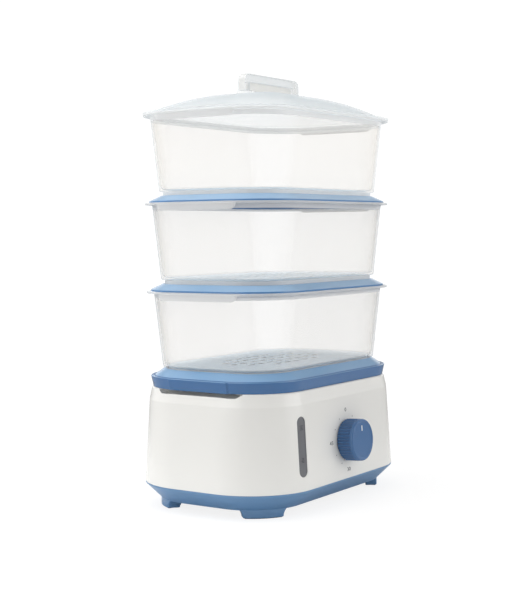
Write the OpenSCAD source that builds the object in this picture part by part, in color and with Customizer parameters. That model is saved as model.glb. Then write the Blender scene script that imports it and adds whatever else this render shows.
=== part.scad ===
// Three-tier electric food steamer.
// Origin: on the floor under the middle of the housing. X runs along the long side,
// the front with the knob and the level window faces -Y, and Z is up. Millimetres.

/* [Housing] */
// Length of the housing at its seam
housing_w = 310; // [290:1:340]
// Depth of the housing at its seam
housing_d = 207; // [195:1:230]
// Corner radius of the housing at its seam
housing_r = 75; // [68:1:85]
// Wall thickness of the housing
housing_wall = 3; // [2.4:0.1:3.6]
// Height of the seam between the pan and the housing
seam_z = 28; // [24:1:34]
// Height of the crease under the shoulder
crease_z = 120; // [114:1:124]
// Height of the seat that the drip tray rests on
seat_z = 134; // [131:1:140]
// How far each wall leans in between the seam and the crease
wall_lean = 5.8; // [3:0.1:8]
// How far the shoulder draws in above the crease
shoulder_in = 3.2; // [1:0.1:5]
// Width of the seat, from the shoulder's edge to the opening
seat_w = 25; // [22:0.5:28]
// Thickness of the seat
seat_t = 5; // [4:0.5:7]
// Width of the step that the tank's flange lies in
rebate_w = 8; // [6:0.5:9]
// Depth of that step
rebate_t = 2.5; // [2:0.1:3]
// Radius of the finger scoops in the short ends
scoop_r = 11; // [9:0.5:11.5]
// Distance of a scoop's axis in from the shoulder's edge
scoop_in = 4.5; // [3:0.5:5]
// Length of a finger scoop
scoop_l = 112; // [90:1:120]
// Height of a scoop's axis above the seat
scoop_up = 5.5; // [3:0.5:7]
// Thickness of the shell round a scoop
scoop_wall = 2.5; // [1.5:0.1:2.6]

/* [Bottom pan and feet] */
// Height of the pan's underside above the floor
pan_z = 9; // [8:0.5:12]
// How far the pan's sides slope in
pan_in = 18; // [14:0.5:19]
// Thickness of the pan's floor
pan_t = 2.5; // [2:0.1:3.5]
// Distance of a foot's outer side from the corner centre
stand_out = 57.5; // [54:0.5:58]
// Width of a foot towards the corner centre
stand_w = 12.5; // [10:0.5:16]
// Length of a foot round the corner, where it stands
stand_l = 44; // [36:1:50]
// Radius of the hollow by which a foot widens towards the pan
stand_flare = 11.5; // [11:0.5:14]
// Margin of a rubber pad inside its foot
pad_margin = 1.5; // [1:0.1:2.5]
// Thickness of a rubber pad
pad_t = 2.4; // [1.5:0.1:3]
// How far a pad stands out of its foot
pad_proud = 0.6; // [0.4:0.1:1]
// Distance of the case screws from the middle, along the length
screw_x = 55; // [50:1:62]
// Distance of the case screws from the middle, along the depth
screw_y = 79.5; // [77:0.5:80]
// Radius of a case screw's shank
screw_r = 1.9; // [1.5:0.1:2.2]
// Radius of a case screw's head
screw_head_r = 3.8; // [3:0.1:4.2]
// Length of a case screw under its head
screw_l = 26; // [16:1:32]
// Height of a case screw's head
screw_head_h = 2.4; // [1.8:0.1:3]
// Length of the cooling slots in the pan
vent_l = 34; // [20:1:44]
// Width of the cooling slots
vent_w = 3; // [2:0.5:4]
// Number of cooling slots in a group
vent_n = 7; // [4:1:9]

/* [Tank and heater] */
// Height of the underside of the tank's floor
tank_z = 42; // [41:0.5:46]
// Wall thickness of the tank
tank_t = 2.5; // [2:0.1:3]
// How far the tank's walls lean in from top to floor
tank_lean = 2.4; // [1:0.2:4]
// Radius of the hole in the tank's floor
heater_hole_r = 40; // [36:0.5:42]
// Radius of the heater's flange
heater_r = 46; // [44:0.5:48]
// Height of the heater's crown above its flange
heater_crown = 7; // [4:0.5:12]
// Width of the raised ring over the heating tube
heater_ring_w = 7; // [5:0.5:9]
// Thickness of the heater's flange
heater_t = 2; // [1.5:0.1:3]
// Thickness of the silicone seal
seal_t = 1.6; // [1.2:0.1:2.4]
// Distance of the heater screws from its axis
heater_screw_at = 31; // [28:0.5:33]
// Radius of the thermal cut-out
cutoff_r = 9.5; // [8:0.5:12]
// Outer radius of the turbo ring
turbo_r = 52; // [50:0.5:56]
// Height of the turbo ring
turbo_h = 46; // [36:1:56]
// Wall thickness of the turbo ring
turbo_t = 2; // [1.5:0.1:3]

/* [Level window] */
// Distance of the window from the middle of the front
window_x = -92; // [-96:1:-88]
// Height of the window's centre
window_z = 75.5; // [74:0.5:77]
// Width of the window
window_w = 15; // [12:0.5:16]
// Height of the window
window_h = 65; // [56:1:66]
// Thickness of the window's rim behind the wall
window_rim_t = 1.6; // [1.2:0.1:2]
// How far the window's rim reaches past the slot
window_rim_w = 2; // [1.5:0.1:2.5]
// How far the window's face lies behind the wall's face
window_sunk = 0.5; // [0.2:0.1:1]

/* [Timer and knob] */
// Height of the knob's axis where it meets the front
knob_z = 71; // [66:1:76]
// Radius of the knob at its base
knob_r = 23.4; // [20:0.2:25]
// Depth of the knob
knob_h = 20; // [16:0.5:22]
// How much smaller the knob is at its front edge
knob_taper = 1.2; // [0.6:0.1:2]
// Length of the smooth rim in front of the flutes
knob_rim = 4; // [3:0.5:6]
// Number of flutes
flute_n = 40; // [24:1:44]
// Radius of a flute
flute_r = 1.2; // [0.9:0.1:1.3]
// Gap between the knob and the front
knob_gap = 0.8; // [0.5:0.1:1.5]
// Radius of the timer's shaft
shaft_r = 3; // [2.5:0.1:4]
// Radial clearance of the shaft in its bush
shaft_gap = 0.05; // [0.02:0.01:0.08]
// Width of the timer's case
timer_w = 46; // [40:1:50]
// Depth of the timer's case
timer_h = 17; // [14:0.5:18]
// How far the timer's ears reach past its case
timer_ear = 8; // [6:0.5:10]
// Width of the timer's ears
timer_ear_w = 14; // [10:1:18]
// Radius of the timer's bell
bell_r = 17; // [14:0.5:20]
// Distance of the marker's outer end from the knob's axis
marker_out = 16.5; // [14:0.5:18]
// Length of the marker
marker_l = 6.5; // [5:0.5:9]
// Width of the marker
marker_w = 2; // [1:0.1:3]
// Depth of the timer's bell
bell_h = 7; // [5:0.5:8]

/* [Cord entry] */
// Distance of the cord's gland from the middle of the back
gland_x = 68; // [64:1:76]
// Height of the gland's axis
gland_z = 46; // [44:0.5:50]
// Radius of the gland's bore in its outer part, where it grips the cord
gland_bore_r = 3.6; // [3:0.1:4.5]
// How much wider the bore is further in
gland_relief = 1; // [0.5:0.1:1.5]
// Radius of the gland's body
gland_r = 8; // [7:0.5:10]
// How far the gland's two rims reach past its body
gland_rim = 3; // [2:0.5:4]
// Thickness of those rims
gland_t = 3; // [2:0.5:4]
// How far the gland stands out of the back
gland_out = 16; // [15:0.5:18]

/* [Drip tray] */
// How far the tray's edge lies inside the middle bowl's rim
tray_inset = 3.9; // [3:0.1:6]
// Height of the tray's skirt
skirt_h = 12.2; // [9:0.2:14]
// How far the skirt flares out towards its top
skirt_flare = 3; // [1:0.1:4]
// Wall thickness of the tray and of the rings
tray_t = 2; // [1.6:0.1:2.4]
// Height of the ledge that the first bowl stands on, above the seat
tray_ledge = 12.5; // [12:0.5:16]
// Height of the tray's lip above that ledge
tray_lip = 7.5; // [5:0.5:8]
// Height of the tray's trough above the seat
trough_up = 2; // [1.5:0.5:4]
// Radius of the tray's steam opening
steam_r = 35; // [28:1:38]
// Height of the collar round the steam opening
collar_h = 9; // [7:0.5:11]
// Length of the grip on each short end
grip_l = 80; // [60:1:90]
// How far the grip stands out
grip_out = 2; // [1:0.5:3]

/* [Bowls] */
// Length of the middle bowl's rim
rim_w = 300; // [285:1:320]
// Depth of the middle bowl's rim
rim_d = 198; // [190:1:215]
// Corner radius of the middle bowl's rim
rim_r = 67; // [63:1:74]
// How much larger each bowl is, a side, than the one below
tier_grow = 1; // [0:0.25:1.5]
// Height of a bowl from its foot line to its rim
bowl_h = 85; // [60:1:110]
// Wall thickness of a bowl
bowl_t = 2; // [1.6:0.1:2.6]
// Width of the flange outside a bowl's wall
flange_w = 7.5; // [6.5:0.5:9]
// Thickness of the flange
flange_t = 2.2; // [1.8:0.1:3]
// How far a bowl's wall leans in from its rim to its foot line
bowl_lean = 9.4; // [7:0.2:11]
// How far the foot is set in from the wall
foot_step = 4.3; // [3:0.1:5]
// Height of the foot under the foot line
foot_h = 8.5; // [8:0.5:11]
// Depth of the grips under the flange, at the short ends
ear_h = 8; // [6:0.5:12]
// Length of those grips
ear_l = 104; // [80:1:120]
// Length of a steam slot in a bowl's floor
slot_l = 13; // [9:0.5:16]
// Width of a steam slot
slot_w = 4.5; // [3:0.5:5]
// Distance between the rows of steam slots
slot_pitch = 17; // [16:0.5:20]

/* [Rings] */
// How far a ring's edge lies inside the rim that it sits on
ring_inset = 4.5; // [3.5:0.1:6]
// Height of a ring's ledge above the rim that it sits on
ring_ledge = 4; // [3.5:0.1:6]
// Height of a ring's lip above its ledge
ring_lip = 4; // [3:0.1:6]
// Height of a ring's outer edge
ring_edge = 2; // [1.5:0.1:3]
// Depth of the skirt that centres a ring, a lid or the tray
spigot_h = 5; // [4:0.5:7]
// Gap between a foot and the lip round it
foot_gap = 0.6; // [0.4:0.1:1]
// Gap between a centring skirt and the wall round it
spigot_gap = 1.2; // [1:0.1:1.6]

/* [Lid] */
// How far the lid reaches past the top bowl's rim
lid_over = 0.5; // [0.2:0.1:2]
// Thickness of the lid
lid_t = 2; // [1.6:0.1:2.6]
// Height of the lid's crown above the rim
crown_h = 27; // [18:0.5:36]
// Length of the handle
handle_l = 110; // [90:1:124]
// Width of the handle
handle_w = 12; // [10:0.5:16]
// Height of the handle above its pads
handle_h = 18.5; // [17:0.5:30]
// Thickness of the handle's bar and posts
handle_t = 9; // [6:0.5:10]
// Outer radius of the handle's corners
handle_r = 8; // [5:0.5:8.5]
// Thickness of the panel inside the handle's frame
handle_web = 2; // [1.5:0.1:4]

/* [Hidden] */
$fn = 64;
TIERS = 3;

WHITE = "#eeeeea";
BLUE = "#5b8cc0";
PAN_BLUE = "#5b7fb0";
CLEAR = "#dfe7ea";
STEEL = "#b9bcbf";
DARK = "#3a3c40";

// Corner centres of the housing's outlines and of the bowls' outlines
house_x = housing_w / 2 - housing_r;
house_y = housing_d / 2 - housing_r;
bowl_x = rim_w / 2 - rim_r;
bowl_y = rim_d / 2 - rim_r;

// Radii of the housing's outline, from its corner centres
crease_r = housing_r - wall_lean;
shoulder_r = crease_r - shoulder_in;
opening_r = shoulder_r - seat_w;
rebate_r = opening_r + rebate_w;
lean_angle = atan(wall_lean / (crease_z - seam_z));

// Radii of a bowl's section, from its corner centres
mouth_r = rim_r - flange_w - bowl_t;
body_r = rim_r - flange_w - bowl_lean;
foot_r = body_r - foot_step;

// Heights of the stack
tray_ledge_z = seat_z + tray_ledge;
tier_pitch = bowl_h + ring_ledge + foot_h;
function grow(n) = (n - 2) * tier_grow;
function foot_line_z(n) = tray_ledge_z + foot_h + (n - 1) * tier_pitch;
function rim_z(n) = foot_line_z(n) + bowl_h;
lid_z = rim_z(TIERS);
lid_r = rim_r + grow(TIERS) + lid_over;

// Small gap between pieces of one body that are only laid together
LAID = 0.3;
// How far a cutting shape runs past the face that it cuts
PAST = 1;

// ---- Helpers ----

// A band round a rounded rectangle. The child is its section, drawn with x
// measured outwards from the corner centres and y as the height.
module band(cx, cy) {
    for (i = [0:3]) {
        a = i % 2 == 0 ? cx : cy;
        b = i % 2 == 0 ? cy : cx;
        rotate([0, 0, 90 * i]) translate([a, b, 0]) {
            rotate_extrude(angle = 90) children();
            rotate([90, 0, 0]) linear_extrude(2 * b) children();
        }
    }
}

// The flat middle of a plate whose border is a band that starts at the corner centres
module middle(cx, cy, z, t) {
    translate([-cx, -cy, z]) cube([2 * cx, 2 * cy, t]);
}

// A slot with round ends, along x
module slot_2d(l, w) {
    square([l - w, w], center = true);
    for (s = [-1, 1]) translate([s * (l - w) / 2, 0]) circle(d = w, $fn = 24);
}

// A rectangle with round corners
module round_rect_2d(w, h, r) {
    square([w - 2 * r, h], center = true);
    square([w, h - 2 * r], center = true);
    for (sx = [-1, 1], sy = [-1, 1]) {
        translate([sx * (w / 2 - r), sy * (h / 2 - r)]) circle(r, $fn = 32);
    }
}

// Radius of the housing's outline at height z, and the turn of its front face at x
function wall_r(z) = housing_r - wall_lean * (z - seam_z) / (crease_z - seam_z);
function wall_turn(x, z) = sign(x) * asin(max(abs(x) - house_x, 0) / wall_r(z));

// Places its children on the front: x along it, y up it, z out of it
module on_front(x, z) {
    turn = wall_turn(x, z);
    translate([x, -house_y - wall_r(z) * cos(turn), z]) {
        rotate([0, 0, turn]) rotate([90 - lean_angle, 0, 0]) children();
    }
}

// How far the inside of a bent wall comes forward over half the width of a flat piece behind it
function bow(half_width) = LAID + pow(half_width, 2) / (2 * (crease_r - housing_wall));

module at_case_screws() {
    for (sx = [-1, 1], sy = [-1, 1]) translate([sx * screw_x, sy * screw_y, 0]) children();
}

// At each corner centre, with x pointing out along the corner's diagonal
module at_corners() {
    for (sx = [-1, 1], sy = [-1, 1]) {
        translate([sx * house_x, sy * house_y, 0]) rotate([0, 0, atan2(sy, sx)]) children();
    }
}

// ---- Base ----

boss_r = screw_head_r + 2;
boss_z0 = seam_z - 2;
boss_top = boss_z0 + screw_l + 10;

// A round-ended bar along each short end, for the finger scoops and their shells
module scoop_bar(r) {
    bar_x = house_x + shoulder_r - scoop_in;
    half = scoop_l / 2 - scoop_r;
    for (s = [-1, 1]) translate([s * bar_x, 0, seat_z + scoop_up]) {
        rotate([90, 0, 0]) cylinder(r = r, h = 2 * half, center = true);
        for (e = [-1, 1]) translate([0, e * half, 0]) rotate([90, 0, 0]) sphere(r);
    }
}

// The housing's outer outline, filled from radius r0 outwards
module housing_fill(r0) {
    band(house_x, house_y) polygon([
        [housing_r, seam_z], [crease_r, crease_z], [shoulder_r, seat_z], [r0, seat_z], [r0, seam_z]
    ]);
}

module window_slot_2d(extra) {
    rotate(90) slot_2d(window_h + 2 * extra, window_w + 2 * extra);
}

module base_housing() color(WHITE) difference() {
    union() {
        band(house_x, house_y) polygon([
            [housing_r, seam_z],
            [crease_r, crease_z],
            [shoulder_r, seat_z],
            [rebate_r, seat_z],
            [rebate_r, seat_z - rebate_t],
            [opening_r, seat_z - rebate_t],
            [opening_r, seat_z - seat_t],
            [shoulder_r - housing_wall, seat_z - seat_t],
            [crease_r - housing_wall, crease_z],
            [housing_r - housing_wall, seam_z]
        ]);
        intersection() {
            scoop_bar(scoop_r + scoop_wall);
            housing_fill(rebate_r);
        }
        // Screw bosses, each with a rib to the wall
        at_case_screws() translate([0, 0, boss_z0]) cylinder(r = boss_r, h = boss_top - boss_z0);
        intersection() {
            for (sx = [-1, 1]) translate([sx * screw_x - 1.25, -housing_d / 2, boss_z0 + 6]) {
                cube([2.5, housing_d, boss_top - boss_z0 - 6]);
            }
            difference() {
                housing_fill(0);
                translate([-housing_w / 2, -screw_y, 0]) cube([housing_w, 2 * screw_y, seat_z]);
            }
        }
    }
    scoop_bar(scoop_r);
    at_case_screws() translate([0, 0, boss_z0 - PAST]) {
        cylinder(r = screw_r + 0.1, h = screw_l + 1);
    }
    on_front(window_x, window_z) translate([0, 0, -2 * housing_wall]) {
        linear_extrude(3 * housing_wall) window_slot_2d(LAID);
    }
    on_front(0, knob_z) translate([0, 0, -2 * housing_wall]) {
        cylinder(r = bush_r + LAID, h = 3 * housing_wall);
    }
    mirror([0, 1, 0]) on_front(gland_x, gland_z) translate([0, 0, -2 * housing_wall]) {
        cylinder(r = gland_r, h = 3 * housing_wall);
    }
}

stand_h = pan_z + pan_t - 0.5 - pad_proud;
pad_turn = asin((stand_l / 2 - pad_margin) / (stand_out - pad_margin));

// A bar round the corner whose inner side and ends widen upwards in a hollow
module stand() {
    inner_side = stand_out - stand_w;
    intersection() {
        rotate([0, 0, -60]) rotate_extrude(angle = 120) difference() {
            translate([inner_side - stand_flare, pad_proud]) {
                square([stand_w + stand_flare, stand_h]);
            }
            translate([inner_side - stand_flare, pad_proud]) circle(stand_flare, $fn = 48);
        }
        rotate([90, 0, 90]) linear_extrude(housing_r) difference() {
            translate([-stand_l / 2 - stand_flare, pad_proud]) {
                square([stand_l + 2 * stand_flare, stand_h]);
            }
            for (s = [-1, 1]) translate([s * (stand_l / 2 + stand_flare), pad_proud]) {
                circle(stand_flare, $fn = 48);
            }
        }
    }
}

// A rubber pad, or the recess for it, from z0 up
module pad(z0) {
    rotate([0, 0, -pad_turn]) rotate_extrude(angle = 2 * pad_turn) {
        translate([stand_out - stand_w + pad_margin, z0]) square([stand_w - 2 * pad_margin, pad_t - z0]);
    }
}

module bottom_pan() color(PAN_BLUE) difference() {
    floor_r = housing_r - pan_in;
    inner_r = housing_r - housing_wall - LAID - 0.2;
    union() {
        band(house_x, house_y) polygon([
            [housing_r, seam_z],
            [housing_r, seam_z - 1.5],
            [floor_r + 2, pan_z + 2],
            [floor_r, pan_z],
            [0, pan_z],
            [0, pan_z + pan_t],
            [floor_r - 1.2, pan_z + pan_t],
            [inner_r - 2.2, seam_z - 4],
            [inner_r - 2.2, seam_z + 4],
            [inner_r, seam_z + 4],
            [inner_r, seam_z]
        ]);
        middle(house_x, house_y, pan_z, pan_t);
        at_corners() stand();
        at_case_screws() translate([0, 0, pan_z]) cylinder(r = boss_r, h = boss_z0 - pan_z);
    }
    // Recesses for the rubber pads
    at_corners() pad(-PAST);
    // Counterbores and holes for the case screws
    at_case_screws() {
        translate([0, 0, pan_z - PAST]) cylinder(r = screw_head_r + 0.3, h = screw_z - pan_z + PAST);
        cylinder(r = screw_r + 0.3, h = seam_z);
    }
    // Cooling slots under the wiring
    for (sx = [-1, 1], i = [0:vent_n - 1]) {
        translate([sx * (heater_r + 28), (i - (vent_n - 1) / 2) * 3 * vent_w, pan_z - PAST]) {
            linear_extrude(pan_t + 2 * PAST) slot_2d(vent_l, vent_w);
        }
    }
}

module foot_pads() color(DARK) {
    at_corners() pad(0);
}

screw_z = boss_z0 - 4;

module case_screws() color(STEEL) at_case_screws() {
    translate([0, 0, screw_z]) cylinder(r = screw_r, h = screw_l);
    difference() {
        translate([0, 0, screw_z - screw_head_h]) cylinder(r = screw_head_r, h = screw_head_h);
        for (a = [0, 90]) rotate([0, 0, a]) translate([-2.2, -0.5, screw_z - screw_head_h - PAST]) {
            cube([4.4, 1, screw_head_h / 2 + PAST]);
        }
    }
}

tank_r = opening_r - LAID - 0.3;
tank_floor_z = tank_z + tank_t;
rim_front = housing_wall + bow(window_w / 2 + window_rim_w);
pocket_front = rim_front + window_rim_t;
pocket_side = 4;
pocket_w = window_w + 2 * pocket_side;
pocket_h = window_h + 2 * pocket_side;
pocket_depth = 60;

// The bulge of the tank that stands behind the level window
module pocket(inset) {
    on_front(window_x, window_z) translate([inset - pocket_w / 2, inset - pocket_h / 2, -pocket_depth]) {
        cube([pocket_w - 2 * inset, pocket_h - 2 * inset, pocket_depth - pocket_front - inset]);
    }
}

// The space inside the tank's walls
module tank_hollow() {
    top = seat_z + PAST;
    band(house_x, house_y) polygon([
        [0, tank_floor_z],
        [tank_r - tank_t - tank_lean, tank_floor_z],
        [tank_r - tank_t, top],
        [0, top]
    ]);
    middle(house_x, house_y, tank_floor_z, top - tank_floor_z);
}

module water_tank() color(WHITE) difference() {
    union() {
        band(house_x, house_y) polygon([
            [0, tank_z],
            [tank_r - tank_lean, tank_z],
            [tank_r, seat_z - rebate_t],
            [rebate_r - LAID, seat_z - rebate_t],
            [rebate_r - LAID, seat_z],
            [0, seat_z]
        ]);
        middle(house_x, house_y, tank_z, seat_z - tank_z);
        intersection() {
            pocket(0);
            translate([-housing_w, -housing_d, tank_z]) cube([housing_w, housing_d, seat_z]);
        }
    }
    tank_hollow();
    intersection() {
        pocket(tank_t);
        translate([-housing_w, -housing_d, tank_floor_z]) cube([housing_w, housing_d - 20, seat_z]);
    }
    on_front(window_x, window_z) translate([0, 0, -pocket_front - tank_t - PAST]) {
        linear_extrude(tank_t + 2 * PAST) window_slot_2d(-2);
    }
    cylinder(r = heater_hole_r, h = 2 * tank_z);
}

module level_window() color(DARK) on_front(window_x, window_z) {
    translate([0, 0, -pocket_front]) linear_extrude(pocket_front - window_sunk) window_slot_2d(0);
    translate([0, 0, -pocket_front]) linear_extrude(window_rim_t) window_slot_2d(window_rim_w);
}

flange_z = tank_floor_z + seal_t;
clamp_t = 2.5;

module at_heater_screws() {
    for (i = [0:2]) rotate([0, 0, 120 * i + 30]) translate([heater_screw_at, 0, 0]) children();
}

module heater_plate() color(STEEL) difference() {
    crown_z = flange_z + heater_t + heater_crown;
    ring_out = heater_hole_r - 7;
    rotate_extrude() polygon([
        [0, tank_z],
        [heater_hole_r - 1, tank_z],
        [heater_hole_r - 1, flange_z],
        [heater_r, flange_z],
        [heater_r, flange_z + heater_t],
        [ring_out + 4, flange_z + heater_t],
        [ring_out, crown_z],
        [ring_out - heater_ring_w, crown_z],
        [ring_out - heater_ring_w - 4, flange_z + heater_t + 1],
        [0, flange_z + heater_t + 1]
    ]);
    at_heater_screws() translate([0, 0, tank_z - PAST]) cylinder(r = 2, h = 5 + PAST, $fn = 24);
}

module heater_seal() color("#c9532f") difference() {
    translate([0, 0, tank_floor_z]) cylinder(r = heater_r, h = seal_t);
    translate([0, 0, tank_z]) cylinder(r = heater_hole_r, h = 2 * tank_t + seal_t);
}

module heater_clamp() color(STEEL) difference() {
    translate([0, 0, tank_z - clamp_t]) cylinder(r = heater_r + 1, h = clamp_t);
    translate([0, 0, tank_z - clamp_t - PAST]) {
        cylinder(r = cutoff_r + 4, h = clamp_t + 2 * PAST);
        at_heater_screws() cylinder(r = 2.3, h = clamp_t + 2 * PAST, $fn = 24);
    }
}

module heater_screws() color(STEEL) at_heater_screws() {
    translate([0, 0, tank_z - clamp_t]) cylinder(r = 1.9, h = clamp_t + 4, $fn = 24);
    translate([0, 0, tank_z - clamp_t - 2.2]) cylinder(r = 3.6, h = 2.2, $fn = 32);
}

module thermal_cutoff() color(DARK) {
    translate([0, 0, tank_z - 6]) cylinder(r = cutoff_r, h = 6);
    for (s = [-1, 1]) translate([s * 5 - 3.15, -0.4, tank_z - 14]) cube([6.3, 0.8, 8.4]);
}

module turbo_ring() color(WHITE) difference() {
    translate([0, 0, tank_floor_z]) cylinder(r = turbo_r, h = turbo_h);
    translate([0, 0, tank_floor_z - PAST]) cylinder(r = turbo_r - turbo_t, h = turbo_h + 2 * PAST);
    // Water inlets round the foot
    for (i = [0:5]) rotate([0, 0, 60 * i]) {
        translate([0, -7, tank_floor_z - PAST]) cube([turbo_r + PAST, 14, 5 + PAST]);
    }
}

// ---- Timer, knob and cord entry ----

bush_r = shaft_r + 3;
timer_back = housing_wall + timer_h;

module timer_case() color("#d8d4c8") on_front(0, knob_z) difference() {
    union() {
        translate([0, 0, -timer_back]) linear_extrude(timer_h) round_rect_2d(timer_w, timer_w, 5);
        translate([0, 0, -housing_wall - 1]) linear_extrude(1) slot_2d(timer_w + 2 * timer_ear, timer_ear_w);
        translate([0, 0, -timer_back]) cylinder(r = bush_r, h = timer_back);
        translate([0, 0, -timer_back - 1.5]) cylinder(r = 3, h = 2, $fn = 24);
    }
    translate([0, 0, -timer_back + 4]) cylinder(r = shaft_r + shaft_gap, h = timer_back);
    for (s = [-1, 1]) translate([s * (timer_w + timer_ear) / 2, 0, -housing_wall - 2]) {
        cylinder(r = 1.6, h = 3, $fn = 24);
    }
}

module timer_bell() color(STEEL) on_front(0, knob_z) {
    translate([0, 0, -timer_back - 1.5]) rotate([180, 0, 0]) difference() {
        rotate_extrude() polygon([
            [0, 0], [bell_r - 3, 0], [bell_r, 3], [bell_r, bell_h],
            [bell_r - 1.2, bell_h], [bell_r - 1.2, 3.6], [bell_r - 3.6, 1.2], [0, 1.2]
        ]);
        translate([0, 0, -PAST]) cylinder(r = 1.5, h = 4, $fn = 24);
    }
}

module timer_shaft() color(STEEL) on_front(0, knob_z) {
    translate([0, 0, -timer_back + 4.5]) cylinder(r = shaft_r, h = timer_back - 4.5 + knob_h * 0.7);
}

knob_front = knob_gap + knob_h;
face_sunk = 0.8;
face_r = knob_r - knob_taper - 2.6;

module knob() color(BLUE) on_front(0, knob_z) difference() {
    rim_start = knob_front - knob_rim;
    hollow_top = knob_front - 4;
    union() {
        translate([0, 0, knob_gap]) linear_extrude(rim_start - knob_gap + 0.5) difference() {
            circle(knob_r);
            for (i = [0:flute_n - 1]) rotate(360 * (i + 0.5) / flute_n) {
                translate([knob_r + flute_r * 0.35, 0]) circle(flute_r, $fn = 16);
            }
        }
        // Smooth rim and sunk face
        rotate_extrude() polygon([
            [0, rim_start],
            [knob_r, rim_start],
            [knob_r - knob_taper * 0.3, knob_front - 1.2],
            [knob_r - knob_taper, knob_front],
            [face_r + 0.6, knob_front],
            [face_r, knob_front - face_sunk],
            [0, knob_front - face_sunk]
        ]);
    }
    // Bore for the shaft, and the hollow round its boss
    cylinder(r = shaft_r, h = knob_h * 0.7);
    difference() {
        cylinder(r = knob_r - 2.4, h = hollow_top);
        cylinder(r = shaft_r + 3, h = knob_front);
    }
    marker_box(PAST);
}

// The marker, and the seat that is cut for it in the knob's face
module marker_box(up) {
    translate([-marker_w / 2, marker_out - marker_l, knob_front - face_sunk - 1]) {
        cube([marker_w, marker_l, 1 + up]);
    }
}

module knob_marker() color("white") on_front(0, knob_z) marker_box(0);

module cord_gland() color(DARK) mirror([0, 1, 0]) on_front(gland_x, gland_z) difference() {
    union() {
        translate([0, 0, -housing_wall - 6]) cylinder(r = gland_r - LAID, h = housing_wall + 6);
        cylinder(r = gland_r + gland_rim, h = gland_t);
        rotate_extrude() polygon([
            [0, 0], [gland_r, 0], [gland_r, gland_out - 4], [gland_r - 2, gland_out], [0, gland_out]
        ]);
        translate([0, 0, -housing_wall - gland_t - LAID]) cylinder(r = gland_r + gland_rim, h = gland_t);
    }
    translate([0, 0, gland_t - PAST]) cylinder(r = gland_bore_r, h = gland_out - gland_t + 1);
    translate([0, 0, -housing_wall - 7]) {
        cylinder(r = gland_bore_r + gland_relief, h = housing_wall + 7 + gland_t);
    }
}

block_x = house_x + 12;
block_y = house_y + 23.5;
block_z = pan_z + pan_t;

module terminal_block() color("#f0ece0") translate([block_x, block_y, block_z]) difference() {
    translate([-17, -8, 0]) cube([34, 16, 12]);
    for (i = [-1:1]) translate([11 * i, 0, 0]) {
        translate([0, 0, 6]) rotate([90, 0, 0]) cylinder(r = 1.8, h = 20, center = true, $fn = 24);
        translate([0, 0, 6]) cylinder(r = 2.2, h = 8, $fn = 24);
    }
}

wire_r = 1.2;
wire_bend = 6;

// A wire that sets out along z. Each leg is a straight length, then a bend by so many
// degrees towards a side that is given as a turn about the wire.
module wire(legs, i = 0) {
    straight = legs[i][0];
    bend = legs[i][1];
    cylinder(r = wire_r, h = straight, $fn = 16);
    if (i < len(legs) - 1) translate([0, 0, straight]) rotate([0, 0, legs[i][2]]) {
        translate([wire_bend, 0, 0]) rotate([90, 0, 0]) rotate([0, 0, 180 - bend]) {
            rotate_extrude(angle = bend) translate([wire_bend, 0]) circle(wire_r, $fn = 16);
        }
        translate([wire_bend * (1 - cos(bend)), 0, wire_bend * sin(bend)]) rotate([0, bend, 0]) {
            wire(legs, i + 1);
        }
    }
}

wire_z = block_z + 6;

module lead_wires() color("#7a5230") {
    start_y = block_y - 8.2;
    // To the thermal cut-out under the heater
    translate([block_x - 11, start_y, wire_z]) rotate([90, 0, 0]) {
        wire([[start_y - wire_bend, 90, 180], [block_x - 11 - 5 - 2 * wire_bend, 90, -90],
            [tank_z - 14 - wire_z - wire_bend, 0, 0]]);
    }
    // To the timer at the front, past the screw boss and up into the timer's underside
    front_run = screw_y - boss_r - wire_r - 0.5;
    under_timer = knob_z - timer_w / 2 - timer_back * sin(lean_angle) - 1;
    translate([block_x, start_y, wire_z]) rotate([90, 0, 0]) {
        wire([[start_y + front_run - wire_bend, 90, 180], [block_x - 12 - 2 * wire_bend, 90, -90],
            [under_timer - 3 * wire_bend - 1.5 - wire_z, 90, -90], [0.5, 90, 180], [1.5, 0, 0]]);
    }
}

// ---- Drip tray ----

tray_r = rim_r - tray_inset;
tray_foot_r = foot_r + grow(1) + foot_gap;
ledge_w = 6;

module tray_skirt_2d(out) {
    top = seat_z + skirt_h;
    polygon([
        [tray_r - skirt_flare + out, seat_z],
        [tray_r + out - 0.4, top - 0.4],
        [tray_r + out - 0.8, top],
        [tray_r - 1.4, top],
        [tray_r - tray_t - 0.6, top - 2.2],
        [tray_r - skirt_flare - tray_t, seat_z]
    ]);
}

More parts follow.
